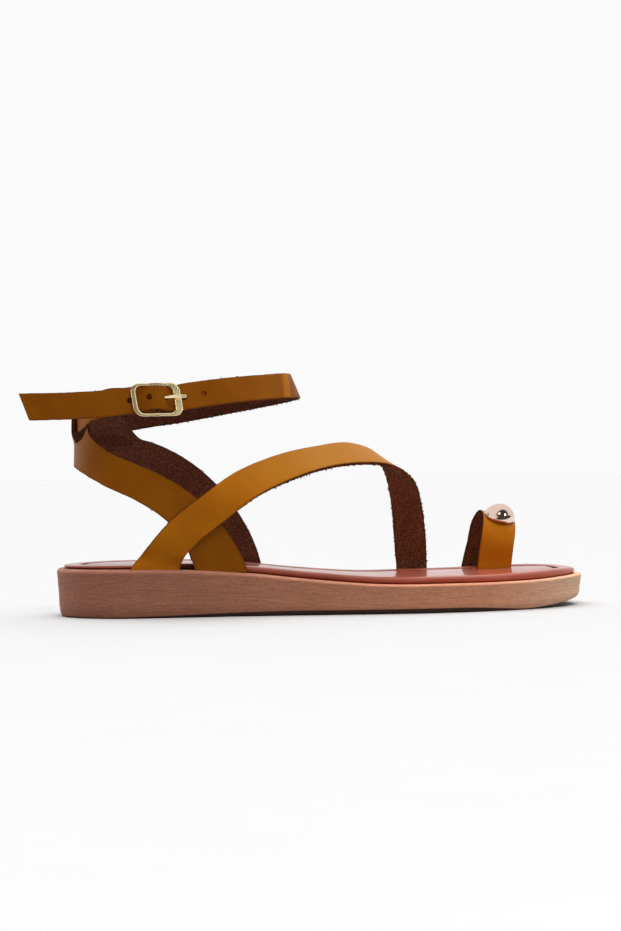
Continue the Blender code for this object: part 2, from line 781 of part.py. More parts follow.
def eye_slot():
    """Cutter for the slot in the strap's hook that the eye of the prong turns in."""
    reach = EYE_RADIUS + PRONG_RADIUS / 2 + GAP
    half = PRONG_RADIUS + GAP
    rings = []
    for out_by in (INNER_RUN - 2 * LEATHER, BAR_DEPTH + WRAP_RADIUS / 2):
        corners = ((-reach, -half), (2 * reach, -half), (2 * reach, half), (-reach, half))
        rings.append(np.array([on_buckle(u, PRONG_UP + v, out_by) for u, v in corners]))
    return loft(rings)


def make_ankle_strap(strap):
    made = make_object("ankle_strap", *loft(strap.rings(cut=TAIL_CUT)), STRAP_COLOUR, 0.45)
    add_boolean(made, make_cutter("eye_way", *eye_slot()), "DIFFERENCE")
    add_boolean(made, make_cutter("prong_way", *prong_tube(PRONG_RADIUS + GAP)), "DIFFERENCE")
    for number, toe_by in enumerate(HOLES_AT):
        hole = make_cutter(f"hole_{number}", *punched_hole(strap, toe_by))
        add_boolean(made, hole, "DIFFERENCE")
    return made


def make_upper(strap):
    sling = heel_sling()
    made = make_object("upper", *loft(settled(sling_rings(sling), (0, -1))), STRAP_COLOUR, 0.45)
    span = strap.row_at[TAB_PASS_FROM], strap.row_at[TAB_PASS_TO]
    passage = strap.rings(thick=LEATHER + 2 * GAP, spread=GAP, span=span)
    add_boolean(made, make_cutter("strap_way", *loft(passage)), "DIFFERENCE")
    add_boolean(made, make_cutter("near_notch", *tab_cut(sling, NEAR_NOTCH, NOTCH_HUB)), "DIFFERENCE")
    add_boolean(made, make_cutter("far_slit", *tab_cut(sling, FAR_SLIT, SLIT_HUB)), "DIFFERENCE")
    instep = Strap(instep_rows(), feet=(0, -1))
    add_boolean(made, make_cutter("instep_strap", *loft(settled(instep.rings(), (0, -1)))), "UNION")
    return made


def make_toe_loop(loop):
    return make_object("toe_loop", *loft(settled(loop.rings(), (-1,))), STRAP_COLOUR, 0.45)


def make_toe_slit(loop):
    """Cutter for the slit where the toe loop goes into the insole."""
    rings = []
    for shift in (-SLIT_BELOW, SLIT_ABOVE):
        low = loop.rings(thick=LEATHER + 2 * GAP, spread=GAP)[0]
        rings.append(low + np.array((0.0, 0.0, shift)))
    return make_cutter("toe_slit", *loft(rings))


def make_toe_stud(loop):
    """Oval dome seated on the near side of the toe loop's crest."""
    centre, run, across, face = loop.frame(loop.at[-1] * STUD_AT)
    base = centre + face * (LEATHER / 2 + STUD_STAND)
    aside = math.radians(STUD_TURN)
    long_way = across * math.cos(aside) + run * math.sin(aside)
    short_way = np.cross(face, long_way)
    turn = np.linspace(0, 2 * math.pi, STUD_SIDES, endpoint=False)
    rings = []
    for lift in np.radians(STUD_LIFTS):
        size = math.cos(lift) if lift else STUD_FOOT
        long = long_way * STUD_LENGTH / 2 * size
        short = short_way * STUD_WIDTH / 2 * size
        up = face * STUD_HEIGHT * math.sin(lift)
        rings.append(np.array([base + long * math.cos(a) + short * math.sin(a) + up for a in turn]))
    return make_object("toe_stud", *loft(rings), (0.78, 0.52, 0.42), 0.12, 1.0)


def main():
    for old in list(bpy.data.objects):
        bpy.data.objects.remove(old)
    make_outsole()
    loop = Strap(toe_rows(), LOOP_STEP, feet=(0, -1))
    make_insole(make_toe_slit(loop))
    strap = Strap(ankle_rows(heel_sling()), BUCKLED_STEP)
    make_upper(strap)
    make_ankle_strap(strap)
    make_toe_loop(loop)
    make_toe_stud(loop)
    make_buckle_frame()
    make_buckle_prong()


main()
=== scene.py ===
"""Right-foot leather sandal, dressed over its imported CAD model.

Laid out as an add-on and run as a script. Shape tables are in millimetres, in the frame of the CAD model:
+X to the toe, -Y to the outer side of the foot, +Z up, with the floor at zero.
"""

import math

import bpy
import numpy as np
from mathutils import Matrix, Vector


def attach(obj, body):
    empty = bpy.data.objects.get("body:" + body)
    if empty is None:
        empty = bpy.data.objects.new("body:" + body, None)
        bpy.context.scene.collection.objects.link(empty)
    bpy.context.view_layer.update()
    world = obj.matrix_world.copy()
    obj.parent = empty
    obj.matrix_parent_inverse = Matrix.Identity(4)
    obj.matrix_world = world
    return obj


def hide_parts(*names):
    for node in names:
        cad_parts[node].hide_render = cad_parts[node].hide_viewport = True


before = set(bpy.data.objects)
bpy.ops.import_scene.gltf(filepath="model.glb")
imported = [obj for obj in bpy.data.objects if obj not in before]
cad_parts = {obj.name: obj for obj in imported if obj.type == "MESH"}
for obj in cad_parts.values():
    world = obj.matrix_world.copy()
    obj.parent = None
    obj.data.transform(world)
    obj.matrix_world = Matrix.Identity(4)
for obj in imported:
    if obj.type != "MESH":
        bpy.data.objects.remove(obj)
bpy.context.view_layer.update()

bl_info = {
    "name": "Toe loop sandal",
    "version": (1, 0, 0),
    "blender": (4, 5, 0),
    "location": "View3D > Sidebar > Sandal",
    "description": "Builds a strapped leather sandal with a wedge sole over its CAD model",
    "category": "Object",
}

MM = 0.001

# Shape values of the sole, straps, buckle and stud
SOLE_LENGTH = 255.0
HEEL_ROUND = 34.0
TOE_ROUND = 44.0
TOE_SQUARENESS = 2.3
INSOLE_INSET = 3.2
LEDGE_MIDDLE = 2.0
FOOT_RISE = 3.0
FOOT_REACH = 16.0
INSTEP_FOOT_REACH = 26.0
FOOT_SINK = 0.9
GAP = 0.3
BUCKLED_WIDTH = 12.0
OVER_BAR_WIDTH = 10.8
HOOK_WIDTH = 10.0
TAB_RISE = 19.5
TAB_CENTRE = 5.0
TAB_NEAR_FLAT = 20.0
TAB_NEAR_FOOT = 32.0
TAB_FAR_FLAT = 22.0
TAB_FAR_FOOT = 40.0
BRIDGE_STAND = 1.4
NEAR_STRIP_STAND = 0.2
FAR_STRIP_STAND = -2.2
BRIDGE_HALF = 4.0
SLIT_END = 12.0
WEAVE_FROM = 2.5
WEAVE_FULL = 9.5
TAIL_CUT = 0.36
TAIL_CUT_RUN = 9.0
FRAME_CORNER = 4.0
LEFT_BAR = 2.1
RIGHT_BAR = 3.2
RAIL = 1.1
FRAME_SLANT = 0.13
FRAME_RIM = 0.42
FRAME_RECESS = 0.4
BAR_RADIUS = 0.8
BAR_DEPTH = -2.2
PRONG_UP = 0.95
STUD_STAND = 0.6
STUD_FOOT = 0.93
STUD_FULLNESS = 0.68
STUD_TURN = 12.0
STUD_AT = 0.40
LOOP_AT = 85.0
TOE_SLIT_BELOW = 8.0
TOE_SLIT_ABOVE = 14.0
INSOLE_CROWN = 0.10
PUNCH = 6.0
CREASE_WIDTH = 0.9
STRAP_BEVEL = 0.28
STUD_BEVEL = 0.25
FRAME_BEVEL = 0.16

# Fineness of the modelled surfaces
SIDE_STEPS = 150
STRAP_STEP = 1.0
PRONG_STEPS = 24
SOLE_EDGE_HEIGHT = 15.0
SOLE_EDGE_STEPS = 34
INSOLE_EDGE_HEIGHT = 3.0
INSOLE_EDGE_STEPS = 46

# How far the rings that close the outsole and insole are drawn to the middle, below and above
SOLE_BELOW = (1.0, 0.66, 0.33, 0.1)
SOLE_ABOVE = (0.1, 0.4, 0.7, 1.0)
INSOLE_BELOW = (1.0, 0.5)
INSOLE_ABOVE = (0.08, 0.2, 0.35, 0.5, 0.65, 0.8, 0.9, 1.0)

# Distance in metres at which points of a seam merge, and how upright the normal of a level face is
MERGE_WITHIN = 2e-6
LEVEL_FACE = 0.9

# Floor, aim of the softboxes and camera, in metres, and the camera's yaw, pitch and roll in degrees
FLOOR_RADIUS = 9.0
FLOOR_RIM = 0.4
FLOOR_DROP = 0.00003
LIGHT_AIM = (0.03, 0.0, 0.045)
CAMERA_PLACE = (-0.1801, -0.9837, 0.0705)
CAMERA_TURNS = ((-10.0, "Z"), (90.0 - 0.096, "X"), (-0.7, "Z"))
BACKDROP = 0.955


def smooth(keys, values, at):
    """Cubic curve through values at keys, read at the places asked for."""
    keys = np.asarray(keys, float)
    values = np.asarray(values, float)
    at = np.asarray(at, float)
    slopes = np.gradient(values, keys)
    left = np.clip(np.searchsorted(keys, at) - 1, 0, len(keys) - 2)
    span = keys[left + 1] - keys[left]
    s = (at - keys[left]) / span
    rise = (1 - s) ** 2 * (1 + 2 * s) * values[left] + s**2 * (3 - 2 * s) * values[left + 1]
    return rise + span * s * (1 - s) * ((1 - s) * slopes[left] - s * slopes[left + 1])


def ease(low, high, at):
    """Smooth step from 0 at low to 1 at high."""
    t = np.clip((np.asarray(at, float) - low) / (high - low), 0, 1)
    return t * t * (3 - 2 * t)


class Table:
    """Rows of numbers under named columns."""

    def __init__(self, columns, *rows):
        self.names = columns.split()
        self.rows = np.array(rows, float)

    def column(self, name):
        return self.rows[:, self.names.index(name)]

    def read(self, name, at):
        """Smooth value of a column at places along the first column."""
        return smooth(self.rows[:, 0], self.column(name), at)


# Plan of the sole from heel (0) to toe (1): middle line, +Y to the inner side, and half width
PLAN = Table(
    "share middle half",
    (0.00, 0.0, 29.0),
    (0.10, 0.0, 31.0),
    (0.20, -0.5, 32.0),
    (0.32, -1.5, 32.0),
    (0.44, -3.0, 34.0),
    (0.56, -3.0, 38.5),
    (0.66, -1.0, 42.5),
    (0.76, 2.0, 43.0),
    (0.86, 5.5, 40.0),
    (0.94, 8.0, 37.0),
    (1.00, 9.0, 36.0),
)

# Side view of the sole: top edge, floor side with toe spring, and the insole's rim above the top edge
PROFILE = Table(
    "share top floor rim",
    (0.00, 22.3, 0.0, 1.5),
    (0.15, 22.3, 0.0, 1.7),
    (0.25, 21.5, 0.0, 2.4),
    (0.34, 19.7, 0.0, 2.8),
    (0.46, 16.2, 0.0, 3.0),
    (0.58, 13.7, 0.0, 3.0),
    (0.70, 13.4, 0.0, 3.0),
    (0.80, 13.4, 0.0, 3.2),
    (0.88, 13.8, 0.6, 3.5),
    (0.94, 14.5, 2.2, 3.2),
    (1.00, 15.3, 4.8, 2.2),
)

# Edge of the outsole, from the floor up: share of the height and inset from the plan
SOLE_EDGE = Table(
    "share inset",
    (0.00, 2.6),
    (0.03, 1.8),
    (0.09, 1.45),
    (0.50, 0.75),
    (0.86, 0.15),
    (0.93, 0.0),
    (0.975, 0.4),
    (1.00, 1.3),
)

# Edge and top of the insole, from underneath up and in: share of the rim's height and inset
INSOLE_EDGE = Table(
    "share inset",
    (0.00, 1.3),
    (0.22, 0.3),
    (0.50, 0.0),
    (0.82, 0.5),
    (1.00, 1.9),
    (1.02, 4.2),
    (0.90, 7.2),
    (0.52, 8.7),
    (0.52, 9.6),
    (0.84, 11.0),
    (0.92, 13.0),
)

STRAP_COLUMNS = "x y z fx fy fz width"


def size(name):
    """A size from the panel, in millimetres."""
    return getattr(bpy.context.scene.sandal_sizes, name) / MM


def colour(name):
    """A colour from the panel, with full alpha."""
    return (*getattr(bpy.context.scene.sandal_colours, name), 1.0)


def share_at(x):
    return np.clip(np.asarray(x, float) / SOLE_LENGTH + 0.5, 0, 1)


def profile_at(name, x):
    return PROFILE.read(name, share_at(x))


def half_width(share):
    """Half width of the plan, closed by a round heel and a squarer round toe."""
    from_heel = share * SOLE_LENGTH
    from_toe = SOLE_LENGTH - from_heel
    heel = np.clip(1 - from_heel / HEEL_ROUND, 0, 1)
    toe = np.clip(1 - from_toe / TOE_ROUND, 0, 1)
    closing = np.sqrt(1 - heel**2) * (1 - toe**TOE_SQUARENESS) ** (1 / TOE_SQUARENESS)
    return PLAN.read("half", share) * closing


def plan_ring(inset):
    """Plan outline drawn in by inset: outer side heel to toe, then inner side back to the heel."""
    turn = np.linspace(0, math.pi, SIDE_STEPS + 1)
    share = (1 - np.cos(turn)) / 2
    middle = PLAN.read("middle", share)
    half = half_width(share)
    x = (share - 0.5) * SOLE_LENGTH
    outer = np.column_stack([x, middle - half])
    inner = np.column_stack([x, middle + half])[-2:0:-1]
    ring = np.concatenate([outer, inner])
    along = np.roll(ring, -1, axis=0) - np.roll(ring, 1, axis=0)
    along /= np.linalg.norm(along, axis=1, keepdims=True)
    return ring + inset * np.column_stack([-along[:, 1], along[:, 0]])


def edge_run(table, height, count):
    """Shares and insets at even steps along the smooth section of an edge table."""
    share = table.column("share")
    inset = table.column("inset")
    run = np.concatenate([[0], np.cumsum(np.hypot(np.diff(share) * height, np.diff(inset)))])
    at = np.linspace(0, run[-1], count)
    return smooth(run, share, at), smooth(run, inset, at)


def gathered(ring, share):
    """A ring drawn towards the line halfway between its two sides."""
    partner = ring[(-np.arange(len(ring))) % len(ring)]
    return ring + (partner - ring) / 2 * share


def ledge(x, side):
    """Middle of the sole's ledge beside the insole: side -1 is the outer side, +1 the inner."""
    share = share_at(x)
    return float(PLAN.read("middle", share) + side * (half_width(share) - LEDGE_MIDDLE))


def foot_row(x, side, rise, width):
    """Strap row upright on the ledge, facing out from the sole's edge."""
    slope = (ledge(x + FOOT_RISE, side) - ledge(x - FOOT_RISE, side)) / (2 * FOOT_RISE)
    base = float(profile_at("top", x)) + GAP
    return x, ledge(x, side), base + rise, -side * slope, side, 0.0, width


class Strap:
    """Flat strap along the rows of a strap table: places, directions and widths at even steps."""

    def __init__(self, rows, feet=(), reach=FOOT_REACH):
        table = Table(STRAP_COLUMNS, *rows)
        chord = np.linalg.norm(np.diff(table.rows[:, :3], axis=0), axis=1)
        keys = np.concatenate([[0], np.cumsum(chord)])
        at = np.linspace(0, keys[-1], round(keys[-1] / STRAP_STEP) + 1)
        read = {name: smooth(keys, table.column(name), at) for name in table.names}
        self.at = at
        self.row_at = keys
        self.centre = np.column_stack([read["x"], read["y"], read["z"]])
        along = np.gradient(self.centre, at, axis=0)
        self.along = along / np.linalg.norm(along, axis=1, keepdims=True)
        face = np.column_stack([read["fx"], read["fy"], read["fz"]])
        face -= self.along * np.sum(face * self.along, axis=1, keepdims=True)
        self.face = face / np.linalg.norm(face, axis=1, keepdims=True)
        self.across = np.cross(self.along, self.face)
        self.width = read["width"]
        for end in feet:
            self.level(end, reach)

    def level(self, end, reach):
        """Turn the sections near an end level, as where a slanting strap meets the ledge."""
        upright = ease(FOOT_RISE, reach, np.abs(self.at - self.at[end]))[:, None]
        flat = np.cross(self.face, (0.0, 0.0, 1.0))
        flat *= np.sign(np.sum(flat * self.across, axis=1, keepdims=True))
        across = upright * self.across + (1 - upright) * flat
        self.across = across / np.linalg.norm(across, axis=1, keepdims=True)

    def frame(self, at):
        """Centre, along, across and face directions at a distance along the strap."""
        found = []
        for table in (self.centre, self.along, self.across, self.face):
            found.append(np.stack([np.interp(at, self.at, table[:, i]) for i in range(3)], axis=-1))
        return found


INSTEP_TURN_ROW = 10


def instep_strap():
    """From the outer heel ledge over the foot to the inner ball ledge."""
    rows = (
        foot_row(-85.2, -1, -FOOT_SINK, 23.4),
        foot_row(-83.0, -1, FOOT_RISE, 21.3),
        (-78.6, -32.0, 31.5, 0.0, -1.0, 0.02, 17.7),
        (-71.3, -32.8, 39.4, 0.0, -1.0, 0.05, 15.9),
        (-58.3, -32.4, 49.3, 0.0, -1.0, 0.12, 15.5),
        (-42.5, -28.2, 60.0, 0.0, -1.0, 0.50, 15.5),
        (-24.0, -21.5, 67.6, 0.0, -1.0, 0.80, 15.5),
        (-3.4, -13.0, 72.6, 0.0, -0.92, 1.05, 15.7),
        (15.7, -3.5, 74.2, 0.0, -1.0, 1.20, 16.2),
        (29.8, 6.5, 71.3, 0.45, -0.47, 1.20, 14.0),
        (38.8, 16.5, 65.0, 0.30, 0.06, 1.00, 13.2),
        (44.0, 25.5, 57.4, 0.27, 0.72, 0.75, 14.2),
        (47.4, 32.5, 47.6, 0.15, 1.05, 0.45, 15.1),
        (50.0, 37.8, 31.5, 0.0, 1.0, 0.25, 16.0),
        foot_row(51.5, 1, FOOT_RISE, 16.0),
        foot_row(51.8, 1, -FOOT_SINK, 16.0),
    )
    return Strap(rows, feet=(0, -1), reach=INSTEP_FOOT_REACH)


SLING_BACK_ROW = 8


def heel_sling():
    """From the outer ledge, up round the back of the heel, to the inner ledge."""
    rows = (
        foot_row(-54.0, -1, -FOOT_SINK, 24.0),
        foot_row(-55.2, -1, FOOT_RISE, 23.6),
        (-58.8, -31.2, 31.5, 0.0, -1.0, 0.05, 21.0),
        (-65.0, -31.5, 42.0, 0.0, -1.0, 0.07, 18.0),
        (-76.0, -31.3, 52.5, -0.1, -1.0, 0.10, 16.5),
        (-90.0, -29.8, 61.0, -0.25, -1.0, 0.10, 15.4),
        (-103.0, -25.3, 67.1, -0.6, -0.9, 0.10, 15.0),
        (-113.5, -15.0, 73.5, -1.0, -0.7, 0.08, 15.0),
        (-117.9, 1.0, 76.6, -1.0, 0.0, 0.03, 14.0),
        (-114.5, 14.5, 76.9, -1.0, 0.65, 0.03, 15.0),
        (-101.5, 22.0, 76.1, -0.5, 1.0, 0.05, 16.0),
        (-84.0, 25.8, 73.8, -0.2, 1.0, 0.05, 16.0),
        (-70.0, 27.5, 67.5, -0.1, 1.0, 0.08, 16.0),
        (-57.0, 29.0, 57.3, 0.0, 1.0, 0.08, 16.5),
        (-45.5, 29.6, 42.0, 0.0, 1.0, 0.05, 18.0),
        (-40.3, 29.2, 29.5, 0.0, 1.0, 0.0, 21.0),
        foot_row(-38.3, 1, FOOT_RISE, 22.2),
        foot_row(-37.5, 1, -FOOT_SINK, 22.5),
    )
    return Strap(rows, feet=(0, -1))


def tab_back(sling):
    return sling.row_at[SLING_BACK_ROW] + TAB_CENTRE


def sling_weave(around, up):
    """How far the heel tab stands out from the sling: its middle bridge, then its near or far strip."""
    strip = np.where(np.asarray(around) < 0, NEAR_STRIP_STAND, FAR_STRIP_STAND)
    slit = ease(BRIDGE_HALF, SLIT_END, np.abs(around))
    return (BRIDGE_STAND + (strip - BRIDGE_STAND) * slit) * ease(WEAVE_FROM, WEAVE_FULL, up)


def tab_share(around):
    """1 on the heel tab, falling to 0 where its sides run down into the sling."""
    near = ease(TAB_NEAR_FLAT, TAB_NEAR_FOOT, np.abs(around))
    far = ease(TAB_FAR_FLAT, TAB_FAR_FOOT, np.abs(around))
    return 1 - np.where(np.asarray(around) < 0, near, far)


def tab_place(sling, around, up, out):
    """Places on the sling: across its band, then straight up the heel tab, and out from its middle skin."""
    at = tab_back(sling) + np.asarray(around, float)
    centre, _, across, face = sling.frame(at)
    band = np.minimum(up, np.interp(at, sling.at, sling.width) / 2)
    lift = np.array((0.0, 0.0, 1.0)) - face * face[..., 2:]
    lift /= np.linalg.norm(lift, axis=-1, keepdims=True)
    rise = np.asarray(up - band)
    return centre + across * band[..., None] + lift * rise[..., None] + face * np.asarray(out)[..., None]


def on_tab(sling, around, up, out=0.0):
    """Places on the heel tab's own skin, which weaves out and in round the ankle strap."""
    return tab_place(sling, around, up, out + tab_share(around) * sling_weave(around, up))


# Where the ankle strap lies on the heel tab: distance round from the tab's middle, up it and in from it
TAB_PASS = Table(
    "around up inward",
    (-23.0, 24.6, 1.4),
    (-18.0, 22.3, 1.8),
    (-13.0, 18.3, 1.8),
    (-7.0, 15.3, 1.5),
    (0.0, 14.8, 0.8),
    (12.0, 14.8, 0.0),
    (23.0, 14.6, 0.0),
)

# Notch that leaves the tab's near strip as a point, from its tip round: places on the grain and flesh sides
NEAR_NOTCH = Table(
    "around up inner_around inner_up",
    (-9.75, 4.2, -8.5, 9.8),
    (-15.5, 7.0, -11.0, 11.0),
    (-17.5, 9.5, -13.5, 13.3),
    (-19.5, 13.7, -16.4, 15.5),
    (-20.1, 12.0, -18.6, 12.0),
    (-21.0, 10.7, -19.8, 10.6),
    (-23.0, 9.5, -22.0, 9.4),
    (-26.5, 8.4, -25.5, 8.3),
    (-31.0, 7.7, -30.2, 7.7),
    (-34.0, 32.0, -34.0, 32.0),
    (-3.5, 32.0, -3.5, 32.0),
    (-3.5, 15.0, -3.5, 15.0),
    (-4.5, 8.0, -5.0, 10.0),
)
FAR_SLIT = Table(
    "around up inner_around inner_up",
    (8.0, 4.0, 8.0, 4.0),
    (4.5, 8.0, 4.5, 8.0),
    (4.5, 21.5, 4.5, 21.5),
    (8.0, 25.5, 8.0, 25.5),
    (11.5, 21.5, 11.5, 21.5),
    (11.5, 8.0, 11.5, 8.0),
)
NOTCH_HUB = (-18.5, 22.0)
SLIT_HUB = (8.0, 15.0)
CUT_SPARE = 2.5

# Middle of the buckle frame, the strap's run to the toe and where the frame faces
BUCKLE_CENTRE = np.array((-83.0, -31.0, 99.8))
BUCKLE_TOE = np.array((1.0, 0.0, 0.015))
BUCKLE_FACE = np.array((0.0, -1.0, 0.10))


def buckle_axes():
    """Directions of the buckle: to the toe, up and out."""
    toe = BUCKLE_TOE / np.linalg.norm(BUCKLE_TOE)
    out = BUCKLE_FACE - toe * np.dot(BUCKLE_FACE, toe)
    out /= np.linalg.norm(out)
    return toe, np.cross(out, toe), out


def on_buckle(toe_by, up_by, out_by):
    toe, up, out = buckle_axes()
    return BUCKLE_CENTRE + toe * toe_by + up * up_by + out * out_by


HOOK_ANGLES = (-15, 15, 45, 70, 90)
ROWS_PAST_TAB = 3
TAB_PASS_FROM = len(HOOK_ANGLES)
TAB_PASS_TO = TAB_PASS_FROM + len(TAB_PASS.rows) + ROWS_PAST_TAB


def ankle_strap(sling):
    """Hooked on the centre bar, back through the heel tab, round the ankle, out to its tail."""
    leather = size("leather")
    wide = size("ankle_width")
    under_frame = -(size("frame_thick") / 2 + GAP + leather / 2)
    wrap = BAR_RADIUS + GAP + leather / 2
    over_bar = BAR_DEPTH + BAR_RADIUS + 2 * GAP + size("prong_radius") + leather / 2
    inner_run = BAR_DEPTH - wrap - leather / 2
    toe, _, out = buckle_axes()
    rows = []
    for angle in np.radians(HOOK_ANGLES):
        towards_bar = -toe * math.cos(angle) + out * math.sin(angle)
        rows.append((*(on_buckle(0.0, 0.0, BAR_DEPTH) - towards_bar * wrap), *towards_bar, HOOK_WIDTH))
    rows.append((*on_buckle(-10.5, 0.0, inner_run), -0.1, -1.0, 0.08, BUCKLED_WIDTH))
    rows.append((-103.5, -22.8, 99.2, -0.5, -1.0, 0.1, wide))
    for around, up, inward in TAB_PASS.rows:
        face = sling.frame(tab_back(sling) + around)[3]
        rows.append((*tab_place(sling, around, up, -inward), *face, wide))
    rows += [
        (-88.0, 25.8, 93.1, -0.1, 1.0, 0.25, wide),
        (-62.0, 26.2, 96.9, 0.05, 1.0, 0.33, wide),
        (-45.0, 24.0, 100.0, 0.2, 1.0, 0.36, wide),
        (-28.5, 17.5, 103.1, 0.6, 1.0, 0.40, wide),
        (-17.5, 8.5, 105.3, 1.0, 0.6, 0.42, wide),
        (-14.3, 0.0, 106.3, 1.0, -0.05, 0.42, wide),
        (-18.5, -9.5, 106.5, 0.9, -0.8, 0.40, wide),
        (-30.5, -17.3, 105.6, 0.4, -1.0, 0.35, wide),
        (-46.0, -23.0, 104.2, 0.2, -1.0, 0.28, wide),
        (-60.0, -26.5, 102.5, 0.12, -1.0, 0.20, wide),
        (*on_buckle(13.6, 1.4, under_frame), 0.0, -1.0, 0.12, wide),
        (*on_buckle(8.2, 0.5, under_frame), 0.0, -1.0, 0.12, BUCKLED_WIDTH),
        (*on_buckle(0.0, 0.9, over_bar), 0.0, -1.0, 0.10, OVER_BAR_WIDTH),
        (*on_buckle(-9.2, 0.45, under_frame), 0.0, -1.0, 0.08, BUCKLED_WIDTH),
        (*on_buckle(-12.6, 0.0, under_frame), 0.0, -1.0, 0.08, wide),
        (-107.0, -29.6, 98.1, 0.0, -1.0, 0.04, wide),
        (-124.0, -30.3, 97.2, 0.0, -1.0, 0.0, wide),
        (-143.0, -29.0, 96.9, 0.05, -1.0, 0.0, wide),
    ]
    return Strap(rows)


def toe_loop():
    """From a slit in the insole over the big toe to the inner ledge."""
    slit_z = float(profile_at("top", LOOP_AT)) + 2 * GAP
    rows = (
        (85.6, 11.0, slit_z, 0.0, -1.0, 0.0, 17.0),
        (86.2, 11.0, slit_z + 2 * FOOT_RISE, 0.0, -1.0, 0.0, 17.0),
        (87.7, 10.6, 31.5, 0.05, -1.0, 0.15, 17.0),
        (89.4, 13.6, 38.0, 0.22, -0.80, 0.75, 17.0),
        (90.5, 19.5, 41.8, 0.30, -0.35, 1.0, 17.0),
        (90.5, 27.0, 42.3, 0.30, 0.25, 1.0, 17.0),
        (89.4, 35.5, 37.0, 0.2, 0.85, 0.6, 17.0),
        (88.6, 41.0, 27.5, 0.05, 1.0, 0.25, 17.0),
        foot_row(86.3, 1, FOOT_RISE, 17.0),
        foot_row(85.5, 1, -FOOT_SINK, 17.0),
    )
    return Strap(rows, feet=(0, -1))


# Punched holes: distance to the toe side of the buckle, up the strap, and depth as a share of the leather
HOLES = Table(
    "toe up deep",
    (-12.1, 0.0, 1.5),
    (-3.0, 0.4, 1.5),
    (12.8, -0.3, 1.5),
    (22.0, 0.0, 0.4),
)

# Prong seen from above the buckle: distance to the toe side of the bar, and out from the frame
PRONG_PATH = Table(
    "toe out",
    (1.2, -1.3),
    (3.0, -0.6),
    (5.0, 0.6),
    (7.0, 1.9),
    (8.4, 2.3),
    (10.0, 2.4),
    (11.4, 2.25),
    (12.8, 1.9),
)

# Bent ends of the centre bar: distance in from the middle of the frame's rail, and out from the frame
BAR_STAPLE = Table(
    "inward out",
    (0.0, -0.3),
    (0.1, -1.3),
    (0.5, -1.9),
    (1.2, BAR_DEPTH),
)


def prong_path():
    toe = np.linspace(PRONG_PATH.rows[0, 0], PRONG_PATH.rows[-1, 0], PRONG_STEPS)
    return [on_buckle(u, PRONG_UP, w) for u, w in zip(toe, PRONG_PATH.read("out", toe))]


# Ways to model, by Blender's own operators


def start_clean():
    """Object mode with nothing selected."""
    if bpy.context.mode != "OBJECT":
        bpy.ops.object.mode_set(mode="OBJECT")
    bpy.ops.object.select_all(action="DESELECT")


def make_active(piece):
    start_clean()
    piece.select_set(True)
    bpy.context.view_layer.objects.active = piece


def named(name):
    """The object that an operator just added, under its own name."""
    piece = bpy.context.object
    piece.name = name
    piece.data.name = name
    return piece


def lay_grid(name, columns, rows, place):
    """Grid laid onto place(s, t), with s from 0 to 1 along it and t from -1 to 1 across it."""
    start_clean()
    bpy.ops.mesh.primitive_grid_add(x_subdivisions=columns, y_subdivisions=rows, size=2)
    piece = named(name)
    flat = np.empty(3 * len(piece.data.vertices))
    piece.data.vertices.foreach_get("co", flat)
    flat = flat.reshape(-1, 3)
    laid = place((flat[:, 0] + 1) / 2, flat[:, 1])
    piece.data.vertices.foreach_set("co", (MM * laid).ravel())
    piece.data.update()
    return piece


def close_up(piece):
    """Merge the seam and poles of a wrapped grid and point its faces outward."""
    make_active(piece)
    bpy.ops.object.mode_set(mode="EDIT")
    bpy.ops.mesh.select_all(action="SELECT")
    bpy.ops.mesh.remove_doubles(threshold=MERGE_WITHIN)
    bpy.ops.mesh.normals_make_consistent(inside=False)
    bpy.ops.object.mode_set(mode="OBJECT")
    return piece


def lay_rings(name, rings):
    """Closed skin over rings of points, each shrunk to a line or a point at both ends."""
    rings = np.array(rings)
    last = len(rings) - 1
    count = rings.shape[1]

    def place(s, t):
        ring = np.rint((t + 1) / 2 * last).astype(int)
        return rings[ring, np.rint(s * count).astype(int) % count]

    return close_up(lay_grid(name, count, last, place))


# Angles of a rod's rounded ends, and a slant that keeps its first side off its own direction
ROD_END = (0, 25, 50, 75)
ROD_SLANT = (0.3, 0.5, 0.8)


def lay_rod(name, path, radius, sides=16):
    """Round rod along a path of points, with rounded ends."""
    path = np.asarray(path, float)
    along = np.gradient(path, axis=0)
    along /= np.linalg.norm(along, axis=1, keepdims=True)
    stations = []
    for bulge in np.radians(ROD_END):
        stations.append((path[0] - along[0] * radius * math.cos(bulge), along[0], radius * math.sin(bulge)))
    stations += [(place, run, radius) for place, run in zip(path, along)]
    for bulge in np.radians(ROD_END[::-1]):
        tip = path[-1] + along[-1] * radius * math.cos(bulge)
        stations.append((tip, along[-1], radius * math.sin(bulge)))
    side = np.cross(along[0], np.roll(along[0], 1) + ROD_SLANT)
    turn = np.linspace(0, 2 * math.pi, sides, endpoint=False)
    rings = []
    for place, run, reach in stations:
        side = side - run * np.dot(side, run)
        side = side / np.linalg.norm(side)
        up = np.cross(run, side)
        rings.append(place + reach * (np.outer(np.cos(turn), side) + np.outer(np.sin(turn), up)))
    return lay_rings(name, rings)


def apply_change(piece, kind, **settings):
    """Add a modifier with these settings and apply it."""
    change = piece.modifiers.new(kind.lower(), kind)
    for key, value in settings.items():
        setattr(change, key, value)
    make_active(piece)
    bpy.ops.object.modifier_apply(modifier=change.name)


def bevel_edges(piece, width, segments, degrees):
    """Round the edges that are sharper than an angle."""
    apply_change(
        piece,
        "BEVEL",
        width=width * MM,
        segments=segments,
        limit_method="ANGLE",
        angle_limit=math.radians(degrees),
    )


